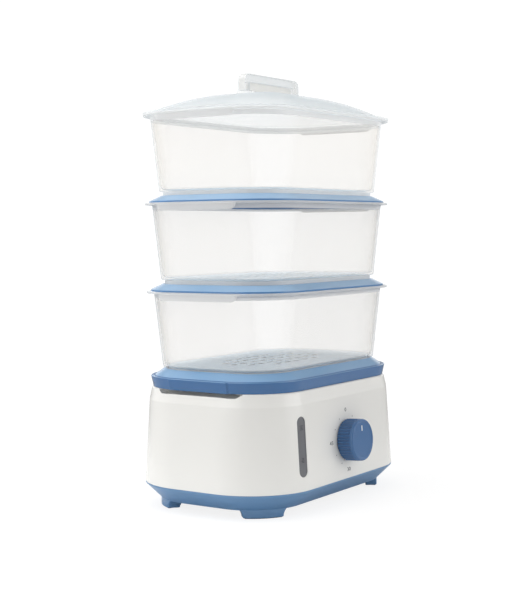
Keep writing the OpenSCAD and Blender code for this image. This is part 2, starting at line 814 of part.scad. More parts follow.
module drip_tray() color(BLUE) difference() {
    lip_r = tray_foot_r + tray_t;
    lip_z = tray_ledge_z + tray_lip;
    slope_z = seat_z + skirt_h - 1.4;
    slope_r = tray_r - tray_t;
    trough_z = seat_z + trough_up;
    trough_r = tray_foot_r - ledge_w - tray_t;
    union() {
        band(bowl_x, bowl_y) {
            tray_skirt_2d(0);
            // Slope, lip, ledge and trough in one section
            polygon([
                [slope_r, slope_z],
                [lip_r + 0.5, lip_z - 0.3],
                [lip_r, lip_z],
                [tray_foot_r, lip_z],
                [tray_foot_r, tray_ledge_z],
                [tray_foot_r - ledge_w, tray_ledge_z],
                [trough_r, trough_z + tray_t],
                [0, trough_z + tray_t],
                [0, trough_z],
                [trough_r - 0.5, trough_z],
                [tray_foot_r - ledge_w + 0.8, tray_ledge_z - tray_t],
                [lip_r, tray_ledge_z - tray_t],
                [lip_r, lip_z - 3.2],
                [slope_r - 0.8, slope_z - 2.4],
                [slope_r + 0.6, slope_z - 3],
                [slope_r + 0.6, slope_z - 0.6]
            ]);
            // Skirt that centres the tray in the tank's mouth
            polygon([
                [spigot_tray_r, trough_z + 1],
                [spigot_tray_r, seat_z - spigot_h],
                [spigot_tray_r - 1.8, seat_z - spigot_h],
                [spigot_tray_r - 1.8, trough_z + 1]
            ]);
        }
        middle(bowl_x, bowl_y, trough_z, tray_t);
        translate([0, 0, trough_z]) cylinder(r = steam_r + tray_t, h = collar_h);
        // Grips on the short ends
        intersection() {
            band(bowl_x, bowl_y) tray_skirt_2d(grip_out);
            translate([-rim_w, -grip_l / 2, seat_z]) cube([2 * rim_w, grip_l, skirt_h + 1]);
        }
    }
    translate([0, 0, seat_z]) cylinder(r = steam_r, h = 3 * collar_h);
}
// The tray's centring skirt stays inside the tank's mouth all round, though their corner
// centres differ
corner_shift = norm([bowl_x - house_x, bowl_y - house_y]);
spigot_tray_r = tank_r - tank_t - corner_shift - spigot_gap;

// ---- Bowls and rings ----

// A foot, wall and flange in one section, from the floor's middle outwards
module bowl_section(n) {
    g = grow(n);
    z0 = foot_line_z(n);
    z1 = rim_z(n);
    polygon([
        [0, z0],
        [foot_r + g - bowl_t, z0],
        [foot_r + g - bowl_t, z0 - foot_h],
        [foot_r + g, z0 - foot_h],
        [foot_r + g, z0 - 0.2],
        [body_r + g - 1.2, z0],
        [body_r + g - 0.35, z0 + 0.35],
        [body_r + g + 0.1, z0 + 1.4],
        [rim_r + g - flange_w - 0.6, z1 - flange_t - 2],
        [rim_r + g - flange_w + 1, z1 - flange_t],
        [rim_r + g - 0.6, z1 - flange_t],
        [rim_r + g, z1 - flange_t + 0.6],
        [rim_r + g, z1 - 0.6],
        [rim_r + g - 0.6, z1],
        [mouth_r + g + 0.8, z1],
        [mouth_r + g, z1 - 0.8],
        [body_r + g - bowl_t + 0.4, z0 + bowl_t + 2],
        [body_r + g - bowl_t - 2, z0 + bowl_t],
        [0, z0 + bowl_t]
    ]);
}

// The grips that hang under the flange at the short ends
module ears(n) {
    g = grow(n);
    top = rim_z(n) - flange_t / 2;
    r = ear_h - 1;
    intersection() {
        band(bowl_x, bowl_y) polygon([
            [rim_r + g - 1, top], [rim_r + g - 2, top - ear_h],
            [rim_r + g - 3.6, top - ear_h], [rim_r + g - 3, top]
        ]);
        translate([-rim_w, 0, top]) rotate([90, 0, 90]) linear_extrude(2 * rim_w) {
            translate([-ear_l / 2, -ear_h + r]) square([ear_l, ear_h]);
            translate([-ear_l / 2 + r, -ear_h - 0.01]) square([ear_l - 2 * r, ear_h]);
            for (s = [-1, 1]) translate([s * (ear_l / 2 - r), -ear_h + r]) circle(r);
        }
    }
}

slot_rows = 5;
// Number of steam slots in row i, fewer towards the ends of the pattern
function slots_in(i) = 9 - 2 * abs(i) + (abs(i) == 1 ? 1 : 0);

module steam_slots_2d() {
    last = (slot_rows - 1) / 2;
    for (i = [-last:last], j = [0:slots_in(i) - 1]) {
        translate([(j - (slots_in(i) - 1) / 2) * (slot_l + 6), i * slot_pitch]) slot_2d(slot_l, slot_w);
    }
}

module bowl(n) color(CLEAR, 0.5) difference() {
    union() {
        band(bowl_x, bowl_y) bowl_section(n);
        middle(bowl_x, bowl_y, foot_line_z(n), bowl_t);
        ears(n);
    }
    translate([0, 0, foot_line_z(n) - PAST]) linear_extrude(bowl_t + 2 * PAST) steam_slots_2d();
}

// Ring under bowl n: it sits on the rim below and the bowl's foot stands in it
module ring(n) color(BLUE) {
    z = rim_z(n - 1);
    edge_r = rim_r + grow(n - 1) - ring_inset;
    lip_in = foot_r + grow(n) + foot_gap;
    lip_out = lip_in + tray_t;
    spigot = mouth_r + grow(n - 1) - spigot_gap;
    ledge_z = z + ring_ledge;
    under_z = ledge_z - tray_t;
    band(bowl_x, bowl_y) polygon([
        [edge_r, z],
        [edge_r, z + ring_edge - 0.4],
        [edge_r - 0.4, z + ring_edge],
        [lip_out + 0.4, ledge_z + ring_lip - 0.3],
        [lip_out - 0.2, ledge_z + ring_lip],
        [lip_in, ledge_z + ring_lip],
        [lip_in, ledge_z],
        [lip_in - ledge_w, ledge_z],
        [lip_in - ledge_w, under_z],
        [lip_out + 0.6, under_z],
        [lip_out + 0.8, under_z + 1.6],
        [spigot - 1.8, z + 1.4],
        [spigot - 1.8, z - spigot_h],
        [spigot, z - spigot_h],
        [spigot, z]
    ]);
}

module bowl_1() bowl(1);
module bowl_2() bowl(2);
module bowl_3() bowl(3);
module ring_2() ring(2);
module ring_3() ring(3);

// ---- Lid ----

dome_steps = 8;
dome_corner = 7;
// Radius at which the dome leaves the lid's flange
dome_r = rim_r + grow(TIERS) - flange_w;

// Height of the dome, and its plan, at a share s of the way in from its edge to its middle
function dome_z(s, drop) = lid_z + lid_t - drop + (crown_h - lid_t) * (1 - pow(1 - s, 2.4));
function arc_points(cx, cy, r, a0) =
    [for (i = [0:dome_corner]) [cx + r * cos(a0 + 90 * i / dome_corner), cy + r * sin(a0 + 90 * i / dome_corner)]];
function plan(s, inset) =
    let (k = 1 - s, r = max(dome_r - inset, 1) * k, x = bowl_x * k, y = bowl_y * k)
    concat(arc_points(x, y, r, 0), arc_points(-x, y, r, 90),
        arc_points(-x, -y, r, 180), arc_points(x, -y, r, 270));
function shell_ring(s, drop, inset) = [for (p = plan(s, inset)) [p[0], p[1], dome_z(s, drop)]];

// Skins a stack of equal rings, with a flat face at each end
module skin(rings) {
    m = len(rings[0]);
    n = len(rings);
    points = [for (ring = rings) each ring];
    polyhedron(points, concat(
        [[for (i = [0:m - 1]) i]],
        [for (k = [0:n - 2], i = [0:m - 1]) let (j = (i + 1) % m)
            each [[k * m + i, (k + 1) * m + i, (k + 1) * m + j], [k * m + i, (k + 1) * m + j, k * m + j]]],
        [[for (i = [m - 1:-1:0]) (n - 1) * m + i]]
    ));
}

module dome(drop, inset) {
    shares = [for (k = [0:dome_steps]) 0.97 * (1 - pow(1 - k / dome_steps, 1.5))];
    low = [for (p = plan(0, inset)) [p[0], p[1], lid_z - (drop > 0 ? PAST : 0)]];
    skin(concat([low], [for (s = shares) shell_ring(s, drop, inset)]));
}

post_x = handle_l / 2 - handle_t / 2;
pad_z = lid_z + crown_h + 1;

module lid() color(CLEAR, 0.5) difference() {
    union() {
        // Flange and centring skirt
        band(bowl_x, bowl_y) polygon([
            [lid_r - 0.6, lid_z],
            [lid_r, lid_z + 0.6],
            [lid_r, lid_z + lid_t - 0.5],
            [lid_r - 0.5, lid_z + lid_t],
            [dome_r - 3, lid_z + lid_t],
            [dome_r - 3, lid_z]
        ]);
        band(bowl_x, bowl_y) {
            r = mouth_r + grow(TIERS) - spigot_gap;
            polygon([[r, lid_z + 1], [r, lid_z - spigot_h], [r - 1.8, lid_z - spigot_h], [r - 1.8, lid_z + 1]]);
        }
        difference() {
            dome(0, 0);
            dome(lid_t, lid_t);
        }
        // Pads under the handle's posts
        for (s = [-1, 1]) translate([s * post_x, 0, pad_z - 5]) {
            linear_extrude(5) round_rect_2d(handle_t + 3, handle_w + 3, 3);
        }
    }
    for (s = [-1, 1]) {
        translate([s * post_x, 0, pad_z - 8]) cylinder(r = 2.6, h = 10, $fn = 32);
        // Steam vents
        translate([s * (post_x + 17), 0, lid_z]) linear_extrude(2 * crown_h) rotate(90) slot_2d(16, 3);
    }
}

module lid_handle() color(CLEAR, 0.6) {
    mid_z = pad_z + handle_h / 2;
    translate([0, 0, mid_z]) rotate([90, 0, 0]) linear_extrude(handle_w, center = true) {
        difference() {
            union() {
                round_rect_2d(handle_l, handle_h, handle_r);
                translate([-handle_l / 2, -handle_h / 2]) square([handle_l, handle_h / 2]);
            }
            translate([0, -handle_t]) round_rect_2d(handle_l - 2 * handle_t, handle_h, 3);
        }
    }
    translate([0, 0, mid_z]) rotate([90, 0, 0]) linear_extrude(handle_web, center = true) {
        translate([-post_x, -handle_h / 2]) square([2 * post_x, handle_h - handle_t / 2]);
    }
    for (s = [-1, 1]) translate([s * post_x, 0, pad_z - 6]) cylinder(r = 2.5, h = 7, $fn = 32);
}

base_housing();
bottom_pan();
foot_pads();
case_screws();
water_tank();
heater_plate();
heater_seal();
heater_clamp();
heater_screws();
thermal_cutoff();
turbo_ring();
level_window();
timer_case();
timer_bell();
timer_shaft();
knob();
knob_marker();
cord_gland();
terminal_block();
lead_wires();
drip_tray();
bowl_1();
ring_2();
bowl_2();
ring_3();
bowl_3();
lid();
lid_handle();
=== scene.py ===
# %% [markdown]
# # A three-tier food steamer
# A white base holds the water, the heater and a clockwork timer. Steam rises through a blue drip
# tray into three translucent bowls, with a blue ring between each two, under a low domed lid.
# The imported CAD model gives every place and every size. This script gives the surfaces: each
# visible moulding is worked out with numpy as a section swept round a rounded rectangle, with
# the small fillets that a mould leaves and that catch the light.

import math

import bmesh
import bpy
import numpy as np
from mathutils import Matrix, Vector
from mathutils.geometry import delaunay_2d_cdt


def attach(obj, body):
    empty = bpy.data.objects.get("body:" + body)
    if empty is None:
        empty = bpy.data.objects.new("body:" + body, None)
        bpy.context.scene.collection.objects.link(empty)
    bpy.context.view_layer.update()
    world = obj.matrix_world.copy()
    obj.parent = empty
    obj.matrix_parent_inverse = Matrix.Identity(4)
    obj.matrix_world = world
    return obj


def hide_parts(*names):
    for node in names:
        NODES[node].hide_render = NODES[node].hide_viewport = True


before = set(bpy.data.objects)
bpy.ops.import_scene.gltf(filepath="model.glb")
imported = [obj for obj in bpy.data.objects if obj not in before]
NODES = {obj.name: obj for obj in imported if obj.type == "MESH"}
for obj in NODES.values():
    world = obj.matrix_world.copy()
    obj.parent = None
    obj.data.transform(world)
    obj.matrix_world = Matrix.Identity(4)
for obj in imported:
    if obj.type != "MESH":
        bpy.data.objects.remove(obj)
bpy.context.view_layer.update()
MM = 0.001
print("CAD nodes:", len(NODES))

# %% [markdown]
# ## Camera
# The photograph was taken from the front left, a little above the middle of the object's height,
# with a long lens. The direction, distance and lens come from matching the rims, the seam and
# the knob of the CAD model with the same lines in the photograph, so they are plain numbers.

# %% Camera
FRAME_W, FRAME_H = 531, 600
FOCAL_PX, SENSOR = 1302.7, 36.0
YAW, PITCH, ROLL = math.radians(56.25), math.radians(3.035), math.radians(-0.505)
DISTANCE, ASIDE, EYE_HEIGHT = 1508.7, 6.463, 305.64
# Level directions: to the right of the view, and away from the camera
RIGHTWARDS = np.array([math.cos(YAW), -math.sin(YAW), 0.0])
AWAY = np.array([math.sin(YAW), math.cos(YAW), 0.0])
UP = np.array([0.0, 0.0, 1.0])


def linked(name, data):
    """A new object for the data, in the scene."""
    made = bpy.data.objects.new(name, data)
    bpy.context.collection.objects.link(made)
    return made


def make_camera():
    """The camera looks away along the yaw, is pitched down and then rolled round its own line."""
    forward = AWAY * math.cos(PITCH) - UP * math.sin(PITCH)
    up = np.cross(RIGHTWARDS, forward)
    place = np.eye(4)
    place[:3, 0] = RIGHTWARDS * math.cos(ROLL) + up * math.sin(ROLL)
    place[:3, 1] = up * math.cos(ROLL) - RIGHTWARDS * math.sin(ROLL)
    place[:3, 2] = -forward
    place[:3, 3] = (EYE_HEIGHT * UP - DISTANCE * AWAY - ASIDE * RIGHTWARDS) * MM
    camera = linked("camera", bpy.data.cameras.new("camera"))
    camera.data.sensor_width = SENSOR
    camera.data.lens = FOCAL_PX / max(FRAME_W, FRAME_H) * SENSOR
    camera.matrix_world = Matrix(place)
    bpy.context.scene.camera = camera
    return camera


camera = make_camera()
print("lens", round(camera.data.lens, 1), "mm")

# %% [markdown]
# ## Surfaces from sections
# Almost every moulding here is the same kind of surface: a section drawn once, with x measured
# outwards from the corner centres, and carried round a rounded rectangle. Blender could do this
# with a bevelled curve, but a grid of points worked out in one numpy expression gives exact
# corners, even quads and full control over each fillet.

# %% Sections and the paths that they are swept along


def unit(angles):
    """Unit vectors at angles in radians, measured from X."""
    return np.stack([np.cos(angles), np.sin(angles)], -1)


def fillet(points, radii, steps=3):
    """Rounds the inner corners of an open section.

    The two sides are cut back by radius / tan(half the corner's angle), and the arc is drawn
    between the cuts round a centre on the corner's bisector. A rounded corner gives steps + 1
    points, also where it is nearly straight. A radius of 0 keeps one sharp point."""
    points = np.asarray(points, float)
    out = [points[:1]]
    for i in range(1, len(points) - 1):
        radius, corner = radii[i], points[i]
        if radius <= 0:
            out.append(corner[None])
            continue
        d1, d2 = points[i - 1] - corner, points[i + 1] - corner
        l1, l2 = max(np.hypot(*d1), 1e-9), max(np.hypot(*d2), 1e-9)
        d1, d2 = d1 / l1, d2 / l2
        half = 0.5 * math.acos(float(np.clip(d1 @ d2, -1, 1)))
        if half > math.radians(89) or half < math.radians(1):
            out.append(np.repeat(corner[None], steps + 1, 0))
            continue
        cut_back = min(radius / math.tan(half), 0.48 * l1, 0.48 * l2)
        r = cut_back * math.tan(half)
        bisector = (d1 + d2) / np.hypot(*(d1 + d2))
        centre = corner + bisector * r / math.sin(half)
        a, b = corner + d1 * cut_back - centre, corner + d2 * cut_back - centre
        t = np.linspace(0, math.atan2(a[0] * b[1] - a[1] * b[0], a @ b), steps + 1)
        cos, sin = np.cos(t), np.sin(t)
        out.append(centre + np.stack([a[0] * cos - a[1] * sin, a[0] * sin + a[1] * cos], 1))
    return np.concatenate(out + [points[-1:]])


def closed_fillet(points, radii, steps=3):
    """Rounds every corner of a closed section, by rounding an open one that overlaps itself."""
    points, radii = list(points), list(radii)
    rounded = fillet(points[-1:] + points + points[:1], [0] + radii + [0], steps)
    return rounded[1:-1]


def stations(core, corner, x_side=(), y_side=()):
    """Stations round a rounded rectangle: the corner centre that each belongs to, and its outward
    direction. The corner is a number of steps, or angles in degrees measured from X. The side
    lists give extra places along the straight sides, in millimetres."""
    core_x, core_y = core
    angles = np.linspace(0, 90, corner + 1) if np.isscalar(corner) else np.asarray(corner, float)
    centres, turned = [], []
    for k, (sx, sy) in enumerate([(1, 1), (-1, 1), (-1, -1), (1, -1)]):
        here = angles if k % 2 == 0 else 90 - angles[::-1]
        centres += [(sx * core_x, sy * core_y)] * len(here)
        turned += list(90 * k + here)
        for place in sorted(y_side if k % 2 else x_side, reverse=k < 2):
            centres.append((sx * core_x, place) if k % 2 else (place, sy * core_y))
            turned.append(90 * (k + 1))
    return np.array(centres, float), unit(np.radians(turned))


def stadium(half, steps=12):
    """Stations round a slot along x: two half circles round the ends of its middle line."""
    turned = np.linspace(-90, 90, steps + 1)
    centres = np.repeat([[half, 0.0], [-half, 0.0]], steps + 1, 0)
    return centres, unit(np.radians(np.concatenate([turned, turned + 180])))


def circle(steps):
    """Stations round a point."""
    return np.zeros((steps, 2)), unit(np.arange(steps) * 2 * math.pi / steps)


def upright(where):
    """Stations turned by a quarter, so that a slot along x lies along y."""
    centres, directions = where
    return centres[:, ::-1] * [-1, 1], directions[:, ::-1] * [-1, 1]


def shifted(where, x, y):
    """Stations moved in the plan."""
    return where[0] + [x, y], where[1]


def swept(section, where, scale=None):
    """Grid of points: station centre + section x times the outward direction, at height section
    y, with one section for all stations or one for each. A scale for each column shrinks the
    plan, for a dome."""
    centres, directions = where
    section = np.broadcast_to(section, (len(centres),) + np.shape(section)[-2:])
    grid = np.empty(section.shape[:2] + (3,))
    grid[..., :2] = centres[:, None] + directions[:, None] * section[..., :1]
    if scale is not None:
        grid[..., :2] *= np.asarray(scale)[None, :, None]
    grid[..., 2] = section[..., 1]
    return grid


def smooth_step(x, start, end):
    """0 before start, 1 after end, and 3t^2 - 2t^3 between."""
    t = np.clip((x - start) / (end - start), 0, 1)
    return t * t * (3 - 2 * t)


# %% Grids into meshes
# Points nearer than this, in metres, become one
MERGE = 2e-6


def skin(grid, caps=(), round_rows=True, round_columns=False):
    """Sheet from a grid: its points, and blocks of faces that are quads between neighbours, by
    index arithmetic. Rows and columns may close in a ring. Caps are columns closed with a face."""
    rows, columns = grid.shape[:2]
    i = np.arange(rows if round_rows else rows - 1)
    j = np.arange(columns if round_columns else columns - 1)
    i, j = [a.ravel() for a in np.meshgrid(i, j, indexing="ij")]
    i2, j2 = (i + 1) % rows, (j + 1) % columns
    corners = [i * columns + j, i2 * columns + j, i2 * columns + j2, i * columns + j2]
    ends = [np.arange(rows)[None] * columns + column % columns for column in caps]
    return grid.reshape(-1, 3), [np.stack(corners, 1)] + ends


def plug(where, radius, low, high):
    """Closed sheet with straight sides round the stations."""
    return skin(swept([[radius, low], [radius, high]], where), (0, -1))


def mesh_object(name, sheets):
    """One object from sheets in millimetres."""
    faces, start = [], 0
    for points, blocks in sheets:
        for block in blocks:
            faces += (block + start).tolist()
        start += len(points)
    mesh = bpy.data.meshes.new(name)
    mesh.from_pydata(np.concatenate([points for points, _ in sheets]) * MM, [], faces)
    return linked(name, mesh)


def surface(name, sheets):
    """Solid piece from sheets: doubles are merged, faces without area dropped, and every face is
    turned outwards."""
    piece = mesh_object(name, sheets)
    bm = bmesh.new()
    bm.from_mesh(piece.data)
    bmesh.ops.remove_doubles(bm, verts=bm.verts, dist=MERGE)
    bmesh.ops.dissolve_degenerate(bm, edges=bm.edges, dist=MERGE)
    bmesh.ops.recalc_face_normals(bm, faces=bm.faces)
    bm.to_mesh(piece.data)
    bm.free()
    return piece


def plate(outline, holes, z):
    """Flat sheet with round-ended holes, by constrained Delaunay triangulation. Each hole is
    (x, y, half the length of its middle line, radius, loop), and a triangle lies in it if its
    middle is nearer to that line than the radius."""
    loops = [outline] + [hole[4] for hole in holes]
    edges, start = [], 0
    for loop in loops:
        i = np.arange(len(loop))
        edges += np.stack([start + i, start + (i + 1) % len(loop)], 1).tolist()
        start += len(loop)
    found = delaunay_2d_cdt([Vector(p) for p in np.concatenate(loops)], edges, [], 1, 1e-5)
    flat, triangles = np.array(found[0]), np.array(found[2])
    middles = flat[triangles].mean(1)
    kept = np.ones(len(triangles), bool)
    for x, y, half, radius, _ in holes:
        off = middles - [x, y]
        off[:, 0] -= np.clip(off[:, 0], -half, half)
        kept &= np.hypot(off[:, 0], off[:, 1]) > radius
    return np.column_stack([flat, np.full(len(flat), z)]), [triangles[kept]]


def slotted(outline, places, half, radius, top, bottom, edge):
    """Two lists of sheets: the walls of round-ended slots in a flat floor, with a fillet at both
    ends, and the floor's two faces."""
    t = np.linspace(0, math.pi / 2, 4)
    lip = np.stack([radius + edge - edge * np.sin(t), top - edge + edge * np.cos(t)], 1)
    wall = np.concatenate([lip, (lip * [1, -1] + [0, top + bottom])[::-1]])
    walls, holes = [], []
    for x, y in places:
        where = shifted(stadium(half, 8), x, y)
        walls.append(skin(swept(wall, where)))
        holes.append((x, y, half, radius + edge, where[0] + where[1] * (radius + edge)))
    return walls, [plate(outline, holes, top), plate(outline, holes, bottom)]


# %% Cutting, shading and placing


def evaluated(piece):
    """New mesh of an object with its modifiers."""
    graph = bpy.context.evaluated_depsgraph_get()
    return bpy.data.meshes.new_from_object(piece.evaluated_get(graph))


def cut(piece, *steps):
    """Boolean steps, each ("DIFFERENCE" or "UNION", other piece). The result becomes the mesh."""
    for operation, other in steps:
        modifier = piece.modifiers.new("cut", "BOOLEAN")
        modifier.operation = operation
        modifier.solver = "EXACT"
        modifier.object = other
    result = evaluated(piece)
    piece.modifiers.clear()
    old, piece.data = piece.data, result
    bpy.data.meshes.remove(old)
    result.name = piece.name
    for _, other in steps:
        bpy.data.objects.remove(other)
    return piece


def shade(piece, bevel=0.0, sharp=40):
    """Smooth shading, with sharp edges above the sharp angle that a bevel can round. Weighted
    normals then keep flat faces flat, so that only fillets carry a highlight."""
    piece.data.shade_smooth()
    piece.data.set_sharp_from_angle(angle=math.radians(sharp))
    if bevel:
        modifier = piece.modifiers.new("edge", "BEVEL")
        modifier.width = bevel * MM
        modifier.segments = 2
        modifier.limit_method = "ANGLE"
        modifier.angle_limit = math.radians(sharp)
    piece.modifiers.new("shading", "WEIGHTED_NORMAL").keep_sharp = True
    return piece


def moved(piece, matrix):
    """Moves a piece's mesh, given a 4x4 matrix in millimetres; its object stays at the origin."""
    points = np.empty(len(piece.data.vertices) * 3)
    piece.data.vertices.foreach_get("co", points)
    points = points.reshape(-1, 3) @ matrix[:3, :3].T + matrix[:3, 3] * MM
    piece.data.vertices.foreach_set("co", points.ravel())
    piece.data.update()
    return piece


def face_middles(piece):
    """x, y and z of the middles of a piece's faces, in millimetres."""
    middles = np.empty(len(piece.data.polygons) * 3)
    piece.data.polygons.foreach_get("center", middles)
    return middles.reshape(-1, 3).T / MM


def by_face(piece, materials, numbers):
    """Gives each face the material of its number."""
    for material in materials:
        piece.data.materials.append(material)
    piece.data.polygons.foreach_set("material_index", numbers.astype(np.int32))
    return piece


def finished(piece, material, body, replaced=()):
    """Gives a new piece its material, the body it moves with and the CAD nodes it stands for."""
    if not piece.data.materials:
        piece.data.materials.append(material)
    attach(piece, body)
    if replaced:
        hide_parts(*replaced)
    print(piece.name, len(piece.data.polygons), "faces")


# %% [markdown]
# ## Materials
# The mouldings are polypropylene and ABS. Both are dielectrics with an IOR near 1.5, so what sets
# them apart is roughness, a very slight waviness from the mould, and how much light passes
# through. Colours are written as the sRGB values a designer would give and turned to linear once.

# %% Material helpers


def linear(code):
    """sRGB hex to linear RGBA: c / 12.92 near black, ((c + 0.055) / 1.055) ** 2.4 above."""
    c = np.array([int(code[i:i + 2], 16) / 255 for i in (1, 3, 5)])
    c = np.where(c <= 0.04045, c / 12.92, ((c + 0.055) / 1.055) ** 2.4)
    return (*[float(v) for v in c], 1.0)


def node(tree, kind, links=None, **settings):
    """Adds a node. Links map an input's name or number to another node's socket. A setting is a
    property of the node, or else the value of the input with that name."""
    made = tree.nodes.new("ShaderNode" + kind)
    for key, value in settings.items():
        if hasattr(made, key):
            setattr(made, key, value)
        else:
            made.inputs[key.replace("_", " ")].default_value = value
    for key, socket in (links or {}).items():
        tree.links.new(socket, made.inputs[key])
    return made


def empty_tree(owner):
    """The node tree of a new material or world, emptied."""
    owner.use_nodes = True
    owner.node_tree.nodes.clear()
    return owner.node_tree


def new_material(name):
    """Empty material: itself, its tree, its surface socket and its Object coordinates."""
    material = bpy.data.materials.new(name)
    tree = empty_tree(material)
    place = node(tree, "TexCoord").outputs["Object"]
    return material, tree, node(tree, "OutputMaterial").inputs["Surface"], place


def noise(tree, place, size_mm, detail):
    """Noise whose features are about size_mm apart."""
    made = node(tree, "TexNoise", {"Vector": place}, Scale=1 / (size_mm * MM), Detail=detail)
    return made.outputs["Fac"]


def ramp(tree, value, start, end, low=0.0, high=1.0, **settings):
    """Takes a value from low at start to high at end."""
    made = node(tree, "MapRange", {"Value": value}, From_Min=start, From_Max=end,
                To_Min=low, To_Max=high, **settings)
    return made.outputs["Result"]


def mixed_shaders(tree, factor, first, second):
    """Shader that goes from the first to the second as the factor goes from 0 to 1."""
    return node(tree, "MixShader", {0: factor, 1: first, 2: second}).outputs["Shader"]


def drifting_colour(tree, place, colour, tint, size_mm):
    """A colour that drifts by a few per cent over distances of size_mm."""
    base = linear(colour)
    darker = tuple(c * (1 - tint) for c in base[:3]) + (1.0,)
    mix = node(tree, "Mix", {"Factor": noise(tree, place, size_mm, 2.0)}, data_type="RGBA",
               A=darker, B=base)
    return mix.outputs["Result"]


def mixed_colour(tree, tone, other, factor):
    """A tone that turns into another colour as the factor goes from 0 to 1."""
    mix = node(tree, "Mix", {"Factor": factor, "A": tone}, data_type="RGBA", B=linear(other))
    return mix.outputs["Result"]


def bump(tree, height, depth_mm):
    """Normal of a surface with this height in it, depth_mm deep."""
    made = node(tree, "Bump", {"Height": height}, Strength=1.0, Distance=depth_mm * MM)
    return made.outputs["Normal"]


# The long faint waviness that uneven shrinking leaves: size and depth in mm, and detail
WAVY, GRAINY, RUBBERY = (25.0, 0.02, 0.0), (0.8, 0.02, 1.0), (0.6, 0.04, 1.0)


def moulded(name, colour, roughness=0.3, tint=0.03, relief=WAVY, upper=None):
    """A colour that drifts very slightly, and a faint waviness or, where the mould was etched, a
    fine grain. An upper colour, where given, is painted top light: faces that turn upwards are
    painted paler, for the light and the reflection that fall on them from above."""
    material, tree, out, place = new_material(name)
    size_mm, depth_mm, detail = relief
    tone = drifting_colour(tree, place, colour, tint, 60.0)
    # Painted top light: faces that turn upwards take the paler upper colour
    if upper:
        normal = node(tree, "NewGeometry").outputs["Normal"]
        z = node(tree, "SeparateXYZ", {"Vector": normal}).outputs["Z"]
        tone = mixed_colour(tree, tone, upper, ramp(tree, z, 0.2, 0.9))
    normal = bump(tree, noise(tree, place, size_mm, detail), depth_mm)
    shader = node(tree, "BsdfPrincipled", {"Base Color": tone, "Normal": normal},
                  Roughness=roughness, IOR=1.5)
    tree.links.new(shader.outputs["BSDF"], out)
    return material


def translucent(name, colour, edge, thin, slant, through, roughness=0.2):
    """A 2 mm wall lets most light straight through and scatters the rest, and more of it at a
    slant, where the way through is longer. The square of Layer Weight's facing value,
    1 - cos(angle), raises the opacity from thin to slant, and the colour turns to the cooler one
    of an edge. A share of the scattered light goes through, so a wall lit from behind glows."""
    material, tree, out, place = new_material(name)
    facing = node(tree, "LayerWeight", Blend=0.5).outputs["Facing"]
    squared = node(tree, "Math", {0: facing, 1: facing}, operation="MULTIPLY").outputs[0]
    tone = drifting_colour(tree, place, colour, 0.03, 45.0)
    tone = mixed_colour(tree, tone, edge, ramp(tree, facing, 0.7, 1.0))
    normal = bump(tree, noise(tree, place, 30.0, 0.0), 0.02)
    front = node(tree, "BsdfPrincipled", {"Base Color": tone, "Normal": normal},
                 Roughness=roughness, IOR=1.49)
    behind = node(tree, "BsdfTranslucent", {"Color": tone, "Normal": normal})
    scattered = node(tree, "MixShader", {1: front.outputs["BSDF"], 2: behind.outputs["BSDF"]},
                     Fac=through)
    straight = node(tree, "BsdfTransparent").outputs["BSDF"]
    opacity = ramp(tree, squared, 0.0, 1.0, thin, slant)
    tree.links.new(mixed_shaders(tree, opacity, straight, scattered.outputs["Shader"]), out)
    return material


def metal(name, colour, roughness, size_mm, stretch=(1.0, 1.0, 1.0)):
    """Cast or drawn metal: the roughness wanders by 0.08 each way with a noise, which a stretch
    turns into streaks."""
    material, tree, out, place = new_material(name)
    place = node(tree, "Mapping", {"Vector": place}, Scale=stretch).outputs["Vector"]
    wander = noise(tree, place, size_mm, 3.0)
    rough = ramp(tree, wander, 0.0, 1.0, roughness - 0.08, roughness + 0.08)
    shader = node(tree, "BsdfPrincipled", {"Roughness": rough, "Normal": bump(tree, wander, 0.01)},
                  Metallic=1.0, Base_Color=linear(colour))
    tree.links.new(shader.outputs["BSDF"], out)
    return material


# %% Finishes of the blue and white mouldings
# Glossy warm white ABS of the housing
HOUSING_ABS = moulded("housing_abs", "#f0efeb", 0.18, tint=0.015)
# Pan: blue ABS like the knob's, but lighter
PAN_ABS = moulded("pan_abs", "#678fb7", 0.3)
# Blue polypropylene of the tray and the rings, with the soft gloss of an unpainted moulding
# Their upper colours are painted top light, on the faces that turn upwards
TRAY_PP = moulded("tray_polypropylene", "#426fa2", 0.16, upper="#8db4d8")
RING_PP = moulded("ring_polypropylene", "#5c8abb", 0.2, upper="#94b7d8")
KNOB_ABS = moulded("knob_abs", "#476f9f", 0.25)
# Painted shade: the bottoms of the knob's flutes are painted darker than its ridges
FLUTE_SHADE_ABS = moulded("flute_painted_shade", "#3d6290", 0.35)
MARKER_ABS = moulded("marker_abs", "#f4f6f6", 0.35)
PRINT_INK = moulded("print_ink", "#3c4045", 0.6)
MARK_INK = moulded("mark_ink", "#2e3034", 0.5)
# Smoked polycarbonate; its grey is partly painted shade, for the unlit tank seen through it
WINDOW_TINT_AND_SHADE = moulded("window_polycarbonate_and_painted_shade", "#727377", 0.15)

# %% Finishes of the translucent mouldings
# Milky polypropylene: colour, colour of an edge, opacity seen straight on and at a slant, and the
# share of scattered light that goes through. The rims and feet are seen edge-on through more of
# it, and look cooler and denser than the walls. The floors' flat faces are painted paler and
# bluish, which is painted light from the lit blue tray below, and the slots' walls are painted
# white and dense, which is painted highlight.
BOWL_PP = translucent("bowl_polypropylene", "#fff8ef", "#cddae4", 0.06, 0.5, 0.5)
EDGE_PP = translucent("bowl_edge_polypropylene", "#ffffff", "#eef3f6", 0.6, 0.95, 0.35)
# Painted light: the floors' flat faces are paler and bluish, for the lit blue tray below them
FLOOR_LIGHT_PP = translucent("bowl_floor_painted_light", "#def3ff", "#def3ff", 0.3, 0.75, 0.0)
